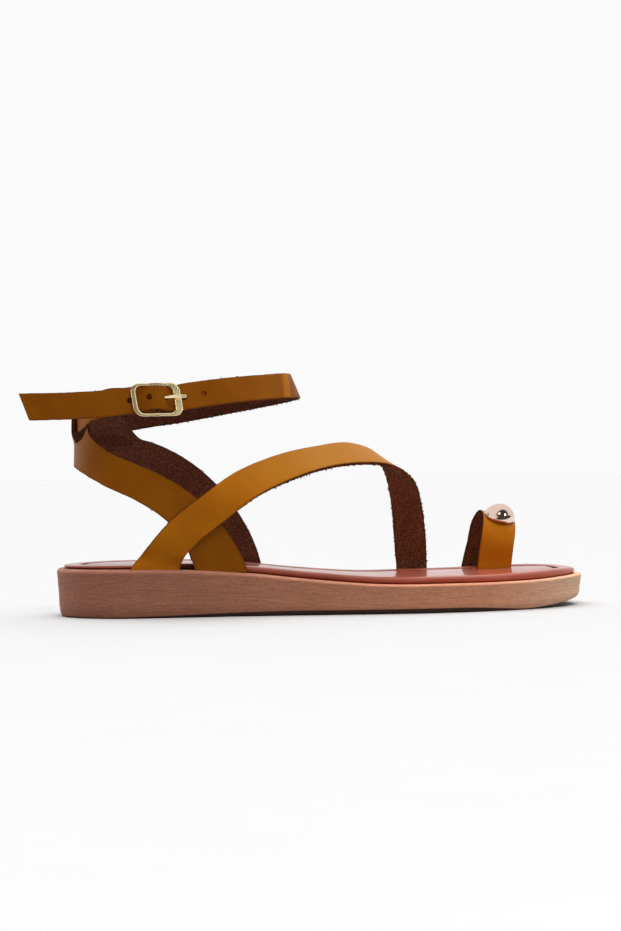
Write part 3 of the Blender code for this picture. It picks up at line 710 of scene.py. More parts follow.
def cut_away(piece, cutter, wall=-1):
    """Cut a shape out of a piece; the walls of the cut get one of its finishes, or else its last."""
    for finish in piece.data.materials:
        cutter.data.materials.append(finish)
    for face in cutter.data.polygons:
        face.material_index = wall % len(piece.data.materials)
    apply_change(
        piece,
        "BOOLEAN",
        object=cutter,
        operation="DIFFERENCE",
        solver="EXACT",
        material_mode="INDEX",
    )
    bpy.data.objects.remove(cutter)


def shade(piece, degrees):
    make_active(piece)
    bpy.ops.object.shade_smooth_by_angle(angle=math.radians(degrees))


def stand(piece, place, x, y, z):
    """Stand a piece modelled at the origin at a place, with its own axes along x, y and z."""
    turn = Matrix((x, y, z)).transposed().to_4x4()
    make_active(piece)
    piece.matrix_world = Matrix.Translation(MM * Vector(place)) @ turn
    bpy.ops.object.transform_apply(location=True, rotation=True, scale=True)


def box_cutter(name, low, high):
    start_clean()
    bpy.ops.mesh.primitive_cube_add(size=1.0)
    cutter = named(name)
    low = np.array(low)
    high = np.array(high)
    cutter.scale = MM * (high - low)
    cutter.location = MM * (low + high) / 2
    bpy.ops.object.transform_apply(location=True, rotation=True, scale=True)
    return cutter


def finish_piece(piece, slot, *nodes):
    """Fix a piece to the shoe and hide the CAD nodes that it stands for. The slot is not used."""
    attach(piece, "root")
    if nodes:
        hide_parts(*nodes)


# Straps

# Order of the finishes on a strap
GRAIN, SUEDE, CUT_EDGE = range(3)


def ragged(count, amount, seed):
    """Small uneven steps along a cut edge."""
    steps = np.random.RandomState(seed).normal(0, 1, count)
    return amount * np.convolve(steps, (0.25, 0.5, 0.25), mode="same")


def strap_edges(strap, t, i, seed):
    """Places across a strap, with its two cut edges a little ragged."""
    low = ragged(len(strap.at), size("raggedness"), seed)
    high = ragged(len(strap.at), size("raggedness"), seed + 1)
    half = strap.width[i] / 2
    rough = np.where(t < 0, low[i], high[i]) * np.clip(np.abs(t) * 4 - 3, 0, 1)
    return t * half + rough


def creased(strap, creases, i, v):
    """How far the given creases press the strap in: place along it, slant and depth."""
    press = np.zeros(len(i))
    for at, slant, depth in creases:
        off = strap.at[i] - at - slant * v
        press -= depth * np.exp(-((off / CREASE_WIDTH) ** 2))
    return press


def wall_up(piece, grain):
    """Give a strap sheet its leather: grain outside, suede inside and a raw cut edge."""
    for finish in (strap_grain(grain), strap_suede(), strap_cut_edge()):
        piece.data.materials.append(finish)
    apply_change(
        piece,
        "SOLIDIFY",
        thickness=size("leather") * MM,
        offset=0.0,
        use_quality_normals=True,
        material_offset=SUEDE,
        material_offset_rim=CUT_EDGE,
    )
    bevel_edges(piece, STRAP_BEVEL, segments=2, degrees=60)


def lay_strap(name, strap, lanes, seed, cut=0.0, creases=()):
    """Strap sheet along its table, grain side out."""
    last = len(strap.at) - 1

    def place(s, t):
        i = np.rint(s * last).astype(int)
        v = strap_edges(strap, -t, i, seed)
        slant = cut * np.clip(1 - (strap.at[-1] - strap.at[i]) / TAIL_CUT_RUN, 0, 1)
        laid = strap.centre[i] + strap.across[i] * v[:, None] + strap.along[i] * (slant * v)[:, None]
        return laid + strap.face[i] * creased(strap, creases, i, v)[:, None]

    return lay_grid(name, last, lanes, place)


def lay_sling(name, sling, lanes, seed):
    """Sheet of the heel sling, with the heel tab raised on it at the back."""
    last = len(sling.at) - 1

    def place(s, t):
        i = np.rint(s * last).astype(int)
        around = sling.at[i] - tab_back(sling)
        rough = strap_edges(sling, -t, i, seed) + t * sling.width[i] / 2
        low = -sling.width[i] / 2
        high = sling.width[i] / 2 + TAB_RISE * tab_share(around)
        return on_tab(sling, around, low + (1 - t) / 2 * (high - low) + rough)

    return lay_grid(name, last, lanes, place)


def strap_way(strap):
    """Cutter for the ankle strap's way through the heel tab."""
    first, last = np.searchsorted(strap.at, (strap.row_at[TAB_PASS_FROM], strap.row_at[TAB_PASS_TO]))
    half_thick = size("leather") / 2 + GAP
    rings = []
    for i in range(first, last, 2):
        half = strap.width[i] / 2 + GAP
        corners = ((-half, half_thick), (half, half_thick), (half, -half_thick), (-half, -half_thick))
        ring = [strap.centre[i] + strap.across[i] * v + strap.face[i] * w for v, w in corners]
        rings.append(np.array(ring))
    for end in (0, -1):
        middle = np.repeat(rings[end].mean(axis=0)[None], 4, axis=0)
        rings.insert(0 if end == 0 else len(rings), middle)
    return lay_rings("strap_way", rings)


# Shape of a stray fibre of unit length: rise, bend to one side and radius
FIBRE = Table(
    "rise bend reach",
    (0.0, 0.0, 0.0),
    (0.0, 0.0, 0.17),
    (0.4, 0.06, 0.15),
    (0.75, 0.2, 0.10),
    (1.0, 0.4, 0.0),
)
FIBRE_LEAN = 0.6
FIBRE_ROOT = 0.7
FIBRE_SHORTEST = 0.45


def model_fibre():
    """One bent, pointed fibre a metre long, standing on the origin, to be scaled down."""
    rings = []
    for rise, bend, reach in FIBRE.rows:
        corners = ((reach, 0.0), (0.0, reach), (-reach, 0.0), (0.0, -reach))
        rings.append(np.array([(bend + x, y, rise) for x, y in corners]) / MM)
    fibre = lay_rings("fibre", rings)
    fibre.data.materials.append(strap_cut_edge())
    return fibre


def grow_fibres(piece, strap, runs, seed):
    """Join stray fibres to a strap's cut edges, copied from one along each run of a table."""
    chance = np.random.RandomState(seed)
    first = model_fibre()
    grown = []
    for begin, end, side, count, length, stout in runs.rows:
        for share in chance.uniform(0, 1, int(count)):
            at = strap.at[-1] * (begin + share * (end - begin))
            centre, along, across, face = strap.frame(at)
            half = np.interp(at, strap.at, strap.width) / 2
            lean = chance.normal(0, FIBRE_LEAN, 2)
            up = Vector(across * side + along * lean[0] + face * lean[1]).normalized()
            root = centre + across * side * half + face * chance.uniform(-FIBRE_ROOT, FIBRE_ROOT)
            copy = first.copy()
            copy.data = first.data.copy()
            bpy.context.scene.collection.objects.link(copy)
            turn = up.to_track_quat("Z", "X").to_matrix().to_4x4()
            turn = turn @ Matrix.Rotation(chance.uniform(0, 2 * math.pi), 4, "Z")
            reach = MM * length * chance.uniform(FIBRE_SHORTEST, 1.0)
            scale = Matrix.Diagonal((reach * stout, reach * stout, reach, 1.0))
            copy.matrix_world = Matrix.Translation(MM * Vector(root)) @ turn @ scale
            grown.append(copy)
    bpy.data.objects.remove(first)
    make_active(piece)
    for copy in grown:
        copy.select_set(True)
    bpy.ops.object.join()


# Runs of stray fibres: shares of the strap's length, the edge they are on, how many, how long and how thick
INSTEP_FIBRES = Table(
    "begin end side count length stout",
    (0.14, 0.36, 1, 40, 0.8, 1.8),
    (0.32, 0.64, 1, 150, 1.1, 2.0),
    (0.64, 0.97, 1, 70, 0.8, 1.8),
    (0.68, 0.97, -1, 80, 0.8, 1.8),
)
SLING_FIBRES = Table(
    "begin end side count length stout",
    (0.12, 0.30, -1, 2, 1.3, 1.4),
    (0.55, 0.97, -1, 70, 0.8, 1.8),
    (0.55, 0.97, 1, 40, 0.8, 1.6),
)
ANKLE_FIBRES = Table(
    "begin end side count length stout",
    (0.34, 0.56, -1, 70, 0.9, 1.8),
    (0.60, 0.76, 1, 4, 1.1, 1.6),
    (0.80, 0.96, 1, 4, 0.7, 1.8),
)
LOOP_FIBRES = Table(
    "begin end side count length stout",
    (0.05, 0.45, -1, 24, 0.6, 1.8),
    (0.45, 0.95, 1, 24, 0.6, 1.8),
)

# Creases of the instep strap about its turn to the inner side: distance past the turn, slant and depth
INSTEP_CREASES = Table(
    "past slant depth",
    (-5.5, 0.45, 0.40),
    (-2.0, 0.40, 0.70),
    (1.5, 0.48, 0.80),
    (5.0, 0.52, 0.70),
    (9.0, 0.45, 0.45),
)


def tab_cutter(sling, corners, hub):
    """Cutter for a slit or notch in the heel tab, sloping through the leather."""
    skin = size("leather") / 2
    levels = (0, skin + CUT_SPARE), (0, skin), (2, -skin), (2, -skin - CUT_SPARE)
    rings = [on_tab(sling, *corners.rows[:, first : first + 2].T, out) for first, out in levels]
    for end, (_, out) in ((0, levels[0]), (len(rings) + 1, levels[-1])):
        rings.insert(end, np.tile(on_tab(sling, *hub, out), (len(corners.rows), 1)))
    return lay_rings("tab_cut", rings)


def hole_cutter(strap, toe_by, up_by, deep):
    """Round punch into the ankle strap's outer run, at a distance to the toe side of the buckle."""
    toe, _, _ = buckle_axes()
    ahead = (strap.centre - BUCKLE_CENTRE) @ toe
    front = int(np.argmax(ahead))
    at = np.interp(-toe_by, -ahead[front:], strap.at[front:])
    centre, along, across, face = strap.frame(at)
    start_clean()
    bpy.ops.mesh.primitive_cylinder_add(vertices=28, radius=size("hole") / 2 * MM, depth=PUNCH * MM)
    punch = named("punch")
    from_face = size("leather") / 2 + PUNCH / 2 - deep * size("leather")
    stand(punch, centre + across * up_by + face * from_face, along, np.cross(face, along), face)
    return punch


# Finishes


class Nodes:
    """Short ways to add and join the nodes of one tree."""

    def __init__(self, tree):
        self.tree = tree

    def add(self, kind, inputs=None, **settings):
        node = self.tree.nodes.new("ShaderNode" + kind)
        count = len(self.tree.nodes)
        node.location = (-1500 + 190 * (count % 9), 500 - 230 * (count // 9))
        for key, value in settings.items():
            setattr(node, key, value)
        for key, value in (inputs or {}).items():
            self.put(node.inputs[key], value)
        return node

    def put(self, socket, value):
        if isinstance(value, bpy.types.NodeSocket):
            self.tree.links.new(value, socket)
        else:
            socket.default_value = value

    def math(self, operation, first, second=0.0, clamp=False):
        node = self.add("Math", {0: first, 1: second}, operation=operation, use_clamp=clamp)
        return node.outputs[0]

    def span(self, value, low, high, to_low=0.0, to_high=1.0):
        """Value carried smoothly from one range to another."""
        inputs = {"Value": value, "From Min": low, "From Max": high, "To Min": to_low, "To Max": to_high}
        return self.add("MapRange", inputs, interpolation_type="SMOOTHSTEP").outputs["Result"]

    def mix(self, share, first, second, blend="MIX"):
        node = self.add("Mix", {0: share, 6: first, 7: second}, data_type="RGBA", blend_type=blend)
        return node.outputs[2]

    def blend(self, share, first, second):
        """Mix of two values."""
        return self.add("Mix", {0: share, 2: first, 3: second}, data_type="FLOAT").outputs[0]

    def noise(self, vector, scale, detail=2.0, roughness=0.5):
        inputs = {"Vector": vector, "Scale": scale, "Detail": detail, "Roughness": roughness}
        return self.add("TexNoise", inputs).outputs["Fac"]

    def stretched(self, vector, scale):
        return self.add("Mapping", {"Vector": vector, "Scale": scale}).outputs["Vector"]

    def bump(self, height, distance, strength):
        inputs = {"Height": height, "Distance": distance, "Strength": strength}
        return self.add("Bump", inputs).outputs["Normal"]


def effect(name, sockets_in, sockets_out, build):
    """Shader node group made once, whose build function returns its outputs in order."""
    if name in bpy.data.node_groups:
        return bpy.data.node_groups[name]
    group = bpy.data.node_groups.new(name, "ShaderNodeTree")
    for socket, (kind, default) in sockets_in.items():
        made = group.interface.new_socket(socket, in_out="INPUT", socket_type="NodeSocket" + kind)
        if default is not None:
            made.default_value = default
    for socket in sockets_out:
        group.interface.new_socket(socket, in_out="OUTPUT", socket_type="NodeSocketFloat")
    nodes = Nodes(group)
    entry = group.nodes.new("NodeGroupInput")
    leave = group.nodes.new("NodeGroupOutput")
    entry.location = (-1800, 300)
    leave.location = (500, 300)
    for socket, value in zip(leave.inputs, build(nodes, entry.outputs)):
        group.links.new(value, socket)
    return group


def leather_grain():
    """Fine grain and slow mottle of tanned leather."""

    def build(nodes, given):
        vector = given["Vector"]
        cells = nodes.add("TexVoronoi", {"Vector": vector, "Scale": given["Grain"]}, feature="F1")
        hair = nodes.noise(vector, nodes.math("MULTIPLY", given["Grain"], 2.3), 3.0, 0.6)
        height = nodes.math("ADD", nodes.math("MULTIPLY", cells.outputs["Distance"], 0.55), hair)
        slow = nodes.noise(vector, given["Mottle Scale"], 4.0, 0.55)
        return height, nodes.span(slow, 0.3, 0.7), nodes.span(hair, 0.35, 0.7)

    given = {"Vector": ("Vector", None), "Grain": ("Float", 1400.0), "Mottle Scale": ("Float", 60.0)}
    return effect("leather_grain", given, ("Height", "Mottle", "Pores"), build)


def cut_edge_shade():
    """Mask of painted shade that rises towards both long edges of a strap, from its own map."""

    def build(nodes, given):
        across = nodes.add("SeparateXYZ", {"Vector": given["UV"]}).outputs["Y"]
        inward = nodes.math("MINIMUM", across, nodes.math("SUBTRACT", 1.0, across))
        wander = nodes.math("MULTIPLY", nodes.noise(given["Vector"], 420.0, 3.0), given["Reach"])
        inward = nodes.math("SUBTRACT", inward, nodes.math("MULTIPLY", wander, 0.6))
        return (nodes.span(inward, given["Reach"], 0.0),)

    given = {"UV": ("Vector", None), "Vector": ("Vector", None), "Reach": ("Float", 0.08)}
    return effect("cut_edge_shade", given, ("Mask",), build)


def fibre_nap():
    """Short tangled fibres of raw leather: height and pale flecks."""

    def build(nodes, given):
        vector = given["Vector"]
        warp = nodes.add("TexNoise", {"Vector": vector, "Scale": 260.0, "Detail": 2.0}).outputs["Color"]
        bent = nodes.add("VectorMath", {0: warp, "Scale": 0.0016}, operation="SCALE").outputs["Vector"]
        moved = nodes.add("VectorMath", {0: vector, 1: bent}, operation="ADD").outputs["Vector"]
        tuft = nodes.noise(moved, given["Nap"], 4.0, 0.65)
        fine = nodes.noise(moved, nodes.math("MULTIPLY", given["Nap"], 1.4), 2.0, 0.6)
        height = nodes.math("ADD", tuft, nodes.math("MULTIPLY", fine, 0.6))
        return height, nodes.span(fine, 0.52, 0.68), nodes.span(tuft, 0.38, 0.62)

    given = {"Vector": ("Vector", None), "Nap": ("Float", 900.0)}
    return effect("fibre_nap", given, ("Height", "Flecks", "Tufts"), build)


def drawn_lines():
    """Fine uneven lines along one direction, as on moulded rubber sides or brushed metal."""

    def build(nodes, given):
        lines = nodes.noise(given["Vector"], 1.0, 3.0, 0.6)
        return lines, nodes.span(lines, 0.38, 0.62)

    return effect("drawn_lines", {"Vector": ("Vector", None)}, ("Height", "Mask"), build)


def new_finish(name):
    """A material with its nodes, its shader and its Object coordinates, or None if it exists."""
    if name in bpy.data.materials:
        return bpy.data.materials[name], None, None, None
    finish = bpy.data.materials.new(name)
    finish.use_nodes = True
    nodes = Nodes(finish.node_tree)
    where = nodes.add("TexCoord")
    return finish, nodes, finish.node_tree.nodes["Principled BSDF"], where


def use_effect(nodes, group, **inputs):
    node = nodes.add("Group", None, node_tree=group)
    for key, value in inputs.items():
        nodes.put(node.inputs[key.replace("_", " ")], value)
    return node.outputs


def tint(base, factor):
    """A colour made darker or lighter by a factor for each channel."""
    return (*[min(1.0, c * f) for c, f in zip(base, factor)], 1.0)


# Tones laid over a finish: between the tufts of suede and of cut edges, and dark and pale on the sole
SUEDE_DEEP = (0.34, 0.30, 0.34, 1.0)
EDGE_DEEP = (0.40, 0.34, 0.34, 1.0)
SOLE_DEEP = (0.62, 0.56, 0.54, 1.0)
SOLE_PALE = (0.55, 0.36, 0.28, 1.0)


def strap_grain(name):
    """Smooth mustard tan grain side of the straps, with painted highlights over the instep strap's crest and
    the ankle strap's fold, and painted shade at the edges.
    """
    finish, nodes, shader, where = new_finish(name)
    if nodes is None:
        return finish
    base = colour(name)
    at = where.outputs["Object"]
    grain = use_effect(nodes, leather_grain(), Vector=at, Grain=1700.0, Mottle_Scale=55.0)
    edge = use_effect(nodes, cut_edge_shade(), UV=where.outputs["UV"], Vector=at, Reach=0.045)
    tone = nodes.mix(grain["Mottle"], tint(base, (0.90, 0.86, 0.80)), tint(base, (1.08, 1.09, 1.10)))
    place = nodes.add("SeparateXYZ", {"Vector": at}).outputs
    # Painted highlight: yellower over the crest of the instep strap, where the light from above falls
    crest = nodes.math("MULTIPLY", nodes.span(place["X"], -0.07, 0.0), nodes.span(place["Z"], 0.050, 0.070))
    crest = nodes.math("MULTIPLY", crest, nodes.span(place["Z"], 0.086, 0.082))
    tone = nodes.mix(crest, tone, tint(base, (0.93, 1.10, 1.0)))
    # Front fold of the ankle strap: a sheen along it, and shade past it
    high = nodes.span(place["Z"], 0.088, 0.092)
    fold = nodes.span(nodes.math("ABSOLUTE", nodes.math("ADD", place["X"], 0.0198)), 0.0026, 0.0006)
    sheen = nodes.math("MULTIPLY", nodes.math("MULTIPLY", fold, high), 0.8)
    tone = nodes.mix(sheen, tone, tint(base, (1.7, 2.0, 3.0)))
    past = nodes.math("MULTIPLY", nodes.span(place["X"], -0.0180, -0.0168), high)
    tone = nodes.mix(nodes.math("MULTIPLY", past, 0.5), tone, tint(base, (0.55, 0.50, 0.50)))
    tone = nodes.mix(nodes.math("MULTIPLY", grain["Pores"], 0.20), tone, tint(base, (0.55, 0.42, 0.40)))
    # Painted shade darkening the grain towards the strap's long edges
    tone = nodes.mix(nodes.math("MULTIPLY", edge["Mask"], 0.40), tone, tint(base, (0.38, 0.28, 0.35)))
    nodes.put(shader.inputs["Base Color"], tone)
    nodes.put(shader.inputs["Roughness"], nodes.span(grain["Mottle"], 0.0, 1.0, 0.42, 0.52))
    nodes.put(shader.inputs["Normal"], nodes.bump(grain["Height"], 0.00012, 0.35))
    shader.inputs["Specular IOR Level"].default_value = 0.25
    shader.inputs["Specular Tint"].default_value = (1.0, 0.66, 0.24, 1.0)
    return finish


def strap_suede():
    """Dark reddish brown flesh side of the straps, with painted light making it paler towards the toe and
    painted shade at the edges.
    """
    finish, nodes, shader, where = new_finish("strap_suede")
    if nodes is None:
        return finish
    base = colour("strap_suede")
    at = where.outputs["Object"]
    nap = use_effect(nodes, fibre_nap(), Vector=at, Nap=1650.0)
    edge = use_effect(nodes, cut_edge_shade(), UV=where.outputs["UV"], Vector=at, Reach=0.05)
    # Painted light: the suede is paler towards the toe
    ahead = nodes.add("SeparateXYZ", {"Vector": at}).outputs["X"]
    base = nodes.mix(nodes.span(ahead, -0.01, 0.03), base, tint(base, (1.40, 1.80, 1.45)))
    deep = nodes.mix(1.0, base, SUEDE_DEEP, "MULTIPLY")
    tone = nodes.mix(nap["Tufts"], deep, nodes.mix(0.35, base, base, "ADD"))
    fleck = nodes.mix(1.0, nodes.mix(1.0, base, base, "ADD"), base, "ADD")
    tone = nodes.mix(nodes.math("MULTIPLY", nap["Flecks"], 0.80), tone, fleck)
    # Painted shade darkening the suede towards the strap's long edges
    tone = nodes.mix(nodes.math("MULTIPLY", edge["Mask"], 0.5), tone, deep)
    nodes.put(shader.inputs["Base Color"], tone)
    nodes.put(shader.inputs["Normal"], nodes.bump(nap["Height"], 0.0007, 0.9))
    shader.inputs["Roughness"].default_value = 0.95
    shader.inputs["Specular IOR Level"].default_value = 0.1
    shader.inputs["Sheen Weight"].default_value = 0.08
    shader.inputs["Sheen Roughness"].default_value = 0.5
    return finish


def strap_cut_edge():
    """Fibrous cut edges of the straps, with painted light: paler where they face down, darker where they face
    up.
    """
    finish, nodes, shader, where = new_finish("strap_cut_edge")
    if nodes is None:
        return finish
    base = colour("strap_edge")
    nap = use_effect(nodes, fibre_nap(), Vector=where.outputs["Object"], Nap=1500.0)
    up = nodes.add("SeparateXYZ", {"Vector": nodes.add("NewGeometry").outputs["Normal"]}).outputs["Z"]
    # Painted light: paler where the edge faces down into shade, darker where it faces up to the light
    painted_light_tone = nodes.mix(nodes.span(up, -0.4, 0.3), tint(base, (3.4, 3.0, 2.2)), tint(base, (0.8, 0.8, 0.8)))
    tone = nodes.mix(nap["Tufts"], nodes.mix(1.0, painted_light_tone, EDGE_DEEP, "MULTIPLY"), painted_light_tone)
    tone = nodes.mix(nodes.math("MULTIPLY", nap["Flecks"], 0.45), tone, nodes.mix(0.8, tone, painted_light_tone, "ADD"))
    nodes.put(shader.inputs["Base Color"], tone)
    nodes.put(shader.inputs["Normal"], nodes.bump(nap["Height"], 0.0004, 0.8))
    shader.inputs["Roughness"].default_value = 1.0
    shader.inputs["Specular IOR Level"].default_value = 0.0
    return finish


def insole_gloss():
    """Glossy reddish brown leather of the insole."""
    finish, nodes, shader, where = new_finish("insole_gloss")
    if nodes is None:
        return finish
    base = colour("insole")
    at = where.outputs["Object"]
    grain = use_effect(nodes, leather_grain(), Vector=at, Grain=1100.0, Mottle_Scale=42.0)
    tone = nodes.mix(grain["Mottle"], tint(base, (0.82, 0.78, 0.76)), tint(base, (1.12, 1.12, 1.12)))
    tone = nodes.mix(nodes.math("MULTIPLY", grain["Pores"], 0.12), tone, tint(base, (0.6, 0.5, 0.5)))
    # Painted shade in the pressed channel inside the rim
    across = nodes.add("SeparateXYZ", {"Vector": where.outputs["UV"]}).outputs["Y"]
    groove = nodes.span(nodes.math("ABSOLUTE", nodes.math("SUBTRACT", across, 0.615)), 0.075, 0.05)
    tone = nodes.mix(nodes.math("MULTIPLY", groove, 0.95), tone, tint(base, (0.13, 0.12, 0.22)))
    place = nodes.add("SeparateXYZ", {"Vector": at}).outputs
    ahead = place["X"]
    # Painted light: the insole is paler towards the toe
    tone = nodes.mix(nodes.span(ahead, -0.03, 0.06, 0.0, 0.30), tone, nodes.mix(1.0, tone, tone, "ADD"))
    # Painted shade, dark and dull, on the outer rim between the feet of the two straps
    strap_feet_shade = nodes.math("MULTIPLY", nodes.span(ahead, -0.082, -0.070), nodes.span(ahead, -0.042, -0.054))
    strap_feet_shade = nodes.math("MULTIPLY", strap_feet_shade, nodes.span(place["Y"], -0.010, -0.026))
    tone = nodes.mix(nodes.math("MULTIPLY", strap_feet_shade, 0.9), tone, tint(base, (0.20, 0.16, 0.16)))
    nodes.put(shader.inputs["Base Color"], tone)
    polish = nodes.span(grain["Mottle"], 0.0, 1.0, 0.46, 0.36)
    dull = nodes.math("MAXIMUM", strap_feet_shade, groove)
    nodes.put(shader.inputs["Roughness"], nodes.math("MAXIMUM", polish, dull))
    nodes.put(shader.inputs["Normal"], nodes.bump(grain["Height"], 0.00010, 0.25))
    nodes.put(shader.inputs["Coat Weight"], nodes.span(dull, 0.0, 1.0, 0.65, 0.0))
    shader.inputs["Specular IOR Level"].default_value = 0.1
    shader.inputs["Coat Roughness"].default_value = 0.07
    return finish


def sole_rubber():
    """Pinkish tan rubber with fine lines along its side, with painted light making it paler to the toe."""
    finish, nodes, shader, where = new_finish("sole_rubber")
    if nodes is None:
        return finish
    base = colour("outsole")
    at = where.outputs["Object"]
    lines = use_effect(nodes, drawn_lines(), Vector=nodes.stretched(at, (110.0, 110.0, 1900.0)))
    grit = nodes.noise(nodes.stretched(at, (620.0, 620.0, 1300.0)), 1.0, 3.0, 0.6)
    slow = nodes.span(nodes.noise(at, 48.0, 3.0), 0.3, 0.7)
    tone = nodes.mix(slow, tint(base, (0.93, 0.92, 0.91)), tint(base, (1.06, 1.06, 1.06)))
    place = nodes.add("SeparateXYZ", {"Vector": at}).outputs
    # Painted light: paler towards the toe, and paler and greyer again at the toe's end
    toe_ward = nodes.span(place["X"], -0.133, 0.112)
    tone = nodes.mix(toe_ward, tone, tint(base, (2.02, 2.12, 2.05)))
    toe_end = nodes.span(place["X"], 0.06, 0.125)
    tone = nodes.mix(toe_end, tone, tint(base, (2.21, 3.26, 3.55)))
    shaded = nodes.mix(1.0, tone, SOLE_DEEP, "MULTIPLY")
    tone = nodes.mix(nodes.math("MULTIPLY", lines["Mask"], 0.36), tone, shaded)
    tone = nodes.mix(nodes.span(grit, 0.52, 0.68, 0.0, 0.40), tone, shaded)
    tone = nodes.mix(nodes.span(grit, 0.46, 0.32, 0.0, 0.30), tone, nodes.mix(0.35, tone, SOLE_PALE, "ADD"))
    # Painted highlight along the top edge, fainter at the toe
    across = nodes.add("SeparateXYZ", {"Vector": where.outputs["UV"]}).outputs["Y"]
    lip = nodes.span(nodes.math("ABSOLUTE", nodes.math("SUBTRACT", across, 0.839)), 0.035, 0.012)
    lip = nodes.math("MULTIPLY", lip, nodes.span(place["X"], 0.04, 0.11, 0.32, 0.08))
    tone = nodes.mix(lip, tone, nodes.mix(0.35, tone, SOLE_PALE, "ADD"))
    # Painted shadow along the foot of the side, higher at the middle than at the heel and toe
    rise = nodes.span(place["X"], -0.110, -0.02, 0.0005, 0.0022)
    fall = nodes.span(place["X"], 0.055, 0.105, 0.0, 0.0024)
    above = nodes.math("SUBTRACT", place["Z"], nodes.math("SUBTRACT", rise, fall))
    foot = nodes.span(above, 0.0003, -0.0002)
    tone = nodes.mix(nodes.math("MULTIPLY", foot, 0.97), tone, tint(base, (0.035, 0.028, 0.030)))
    nodes.put(shader.inputs["Base Color"], tone)
    height = nodes.math("ADD", lines["Height"], nodes.math("MULTIPLY", grit, 0.5))
    nodes.put(shader.inputs["Normal"], nodes.bump(height, 0.00035, 0.7))
    shader.inputs["Roughness"].default_value = 0.62
    shader.inputs["Specular IOR Level"].default_value = 0.35
    return finish


def sole_tread():
    """Fine cross ribs under the outsole."""
    finish, nodes, shader, where = new_finish("sole_tread")
    if nodes is None:
        return finish
    base = colour("outsole")
    at = where.outputs["Object"]
    inputs = {"Vector": at, "Scale": 95.0, "Distortion": 0.6, "Detail": 0.0}
    ribs = nodes.add("TexWave", inputs, bands_direction="X").outputs["Fac"]
    grit = nodes.noise(at, 1200.0, 3.0)
    # Painted shade in the hollows between the ribs
    low = tint(base, (0.35, 0.32, 0.32))
    high = tint(base, (0.8, 0.78, 0.78))
    nodes.put(shader.inputs["Base Color"], nodes.mix(nodes.span(ribs, 0.25, 0.5), low, high))
    height = nodes.math("ADD", nodes.span(ribs, 0.2, 0.6), nodes.math("MULTIPLY", grit, 0.12))
    nodes.put(shader.inputs["Normal"], nodes.bump(height, 0.0008, 1.0))
    shader.inputs["Roughness"].default_value = 0.75
    return finish


def pale_gold():
    """Pale gold metal with fine brushed lines."""
    finish, nodes, shader, where = new_finish("pale_gold")
    if nodes is None:
        return finish
    base = colour("buckle")
    at = where.outputs["Object"]
    lines = use_effect(nodes, drawn_lines(), Vector=nodes.stretched(at, (5200.0, 2600.0, 160.0)))
    tone = nodes.mix(nodes.math("MULTIPLY", lines["Mask"], 0.30), base, tint(base, (0.70, 0.66, 0.55)))
    nodes.put(shader.inputs["Base Color"], tone)
    nodes.put(shader.inputs["Roughness"], nodes.span(lines["Height"], 0.3, 0.7, 0.13, 0.24))
    shader.inputs["Metallic"].default_value = 1.0
    return finish


def rose_gold():
    """Polished rose gold with faint handling marks."""
    finish, nodes, shader, where = new_finish("rose_gold")
    if nodes is None:
        return finish
    base = colour("stud")
    at = where.outputs["Object"]
    marks = nodes.span(nodes.noise(at, 330.0, 5.0, 0.65), 0.42, 0.75)
    tone = nodes.mix(marks, base, tint(base, (0.94, 0.90, 0.88)))
    nodes.put(shader.inputs["Base Color"], tone)
    nodes.put(shader.inputs["Roughness"], nodes.span(marks, 0.0, 1.0, 0.045, 0.10))
    shader.inputs["Metallic"].default_value = 1.0
    return finish


def studio_floor():
    """White paper floor, which lights the shoe less than it shows and mirrors dark past the toe."""
    finish, nodes, shader, where = new_finish("studio_floor")
    if nodes is None:
        return finish
    base = colour("floor")
    fibre = nodes.span(nodes.noise(where.outputs["Object"], 35.0, 4.0), 0.3, 0.7)
    paper = nodes.mix(fibre, tint(base, (0.99, 0.99, 0.99)), base)
    path = nodes.add("LightPath").outputs
    place = nodes.add("SeparateXYZ", {"Vector": where.outputs["Object"]}).outputs
    past = nodes.math("MULTIPLY", nodes.span(place["X"], 0.02, 0.10), nodes.span(place["Y"], -0.05, -0.09))
    mirrored = nodes.mix(past, paper, tint(base, (0.05, 0.045, 0.04)))
    light = nodes.mix(path["Is Glossy Ray"], tint(base, (0.40, 0.40, 0.40)), mirrored)
    nodes.put(shader.inputs["Base Color"], nodes.mix(path["Is Camera Ray"], light, paper))
    shader.inputs["Roughness"].default_value = 0.9
    shader.inputs["Specular IOR Level"].default_value = 0.1
    return finish


# Panel values


def length_property(name, description, default, precision=4):
    return bpy.props.FloatProperty(
        name=name, description=description, default=default, precision=precision, unit="LENGTH"
    )


class SandalSizes(bpy.types.PropertyGroup):
    """Sizes that a user would change."""

    leather: length_property("Leather", "Thickness of the straps", 0.0018)
    ankle_width: length_property("Ankle strap", "Width of the ankle strap", 0.0123)
    hole: length_property("Holes", "Diameter of the punched holes", 0.0027)
    raggedness: length_property("Ragged edges", "Unevenness of cut edges", 0.00005, precision=5)
    frame_length: length_property("Buckle length", "Buckle frame along the strap", 0.0226)
    frame_height: length_property("Buckle height", "Buckle frame across the strap", 0.0151)
    frame_thick: length_property("Buckle thickness", "Thickness of the buckle frame", 0.002)
    prong_radius: length_property("Prong", "Radius of the buckle prong", 0.0009)
    stud_length: length_property("Stud length", "Stud across the toe loop", 0.0162)
    stud_width: length_property("Stud width", "Stud along the toe loop", 0.0116)
    stud_height: length_property("Stud height", "Rise of the stud's dome", 0.0068)


def colour_property(name, description, default):
    return bpy.props.FloatVectorProperty(
        name=name, description=description, default=default, min=0.0, max=1.0, subtype="COLOR"
    )


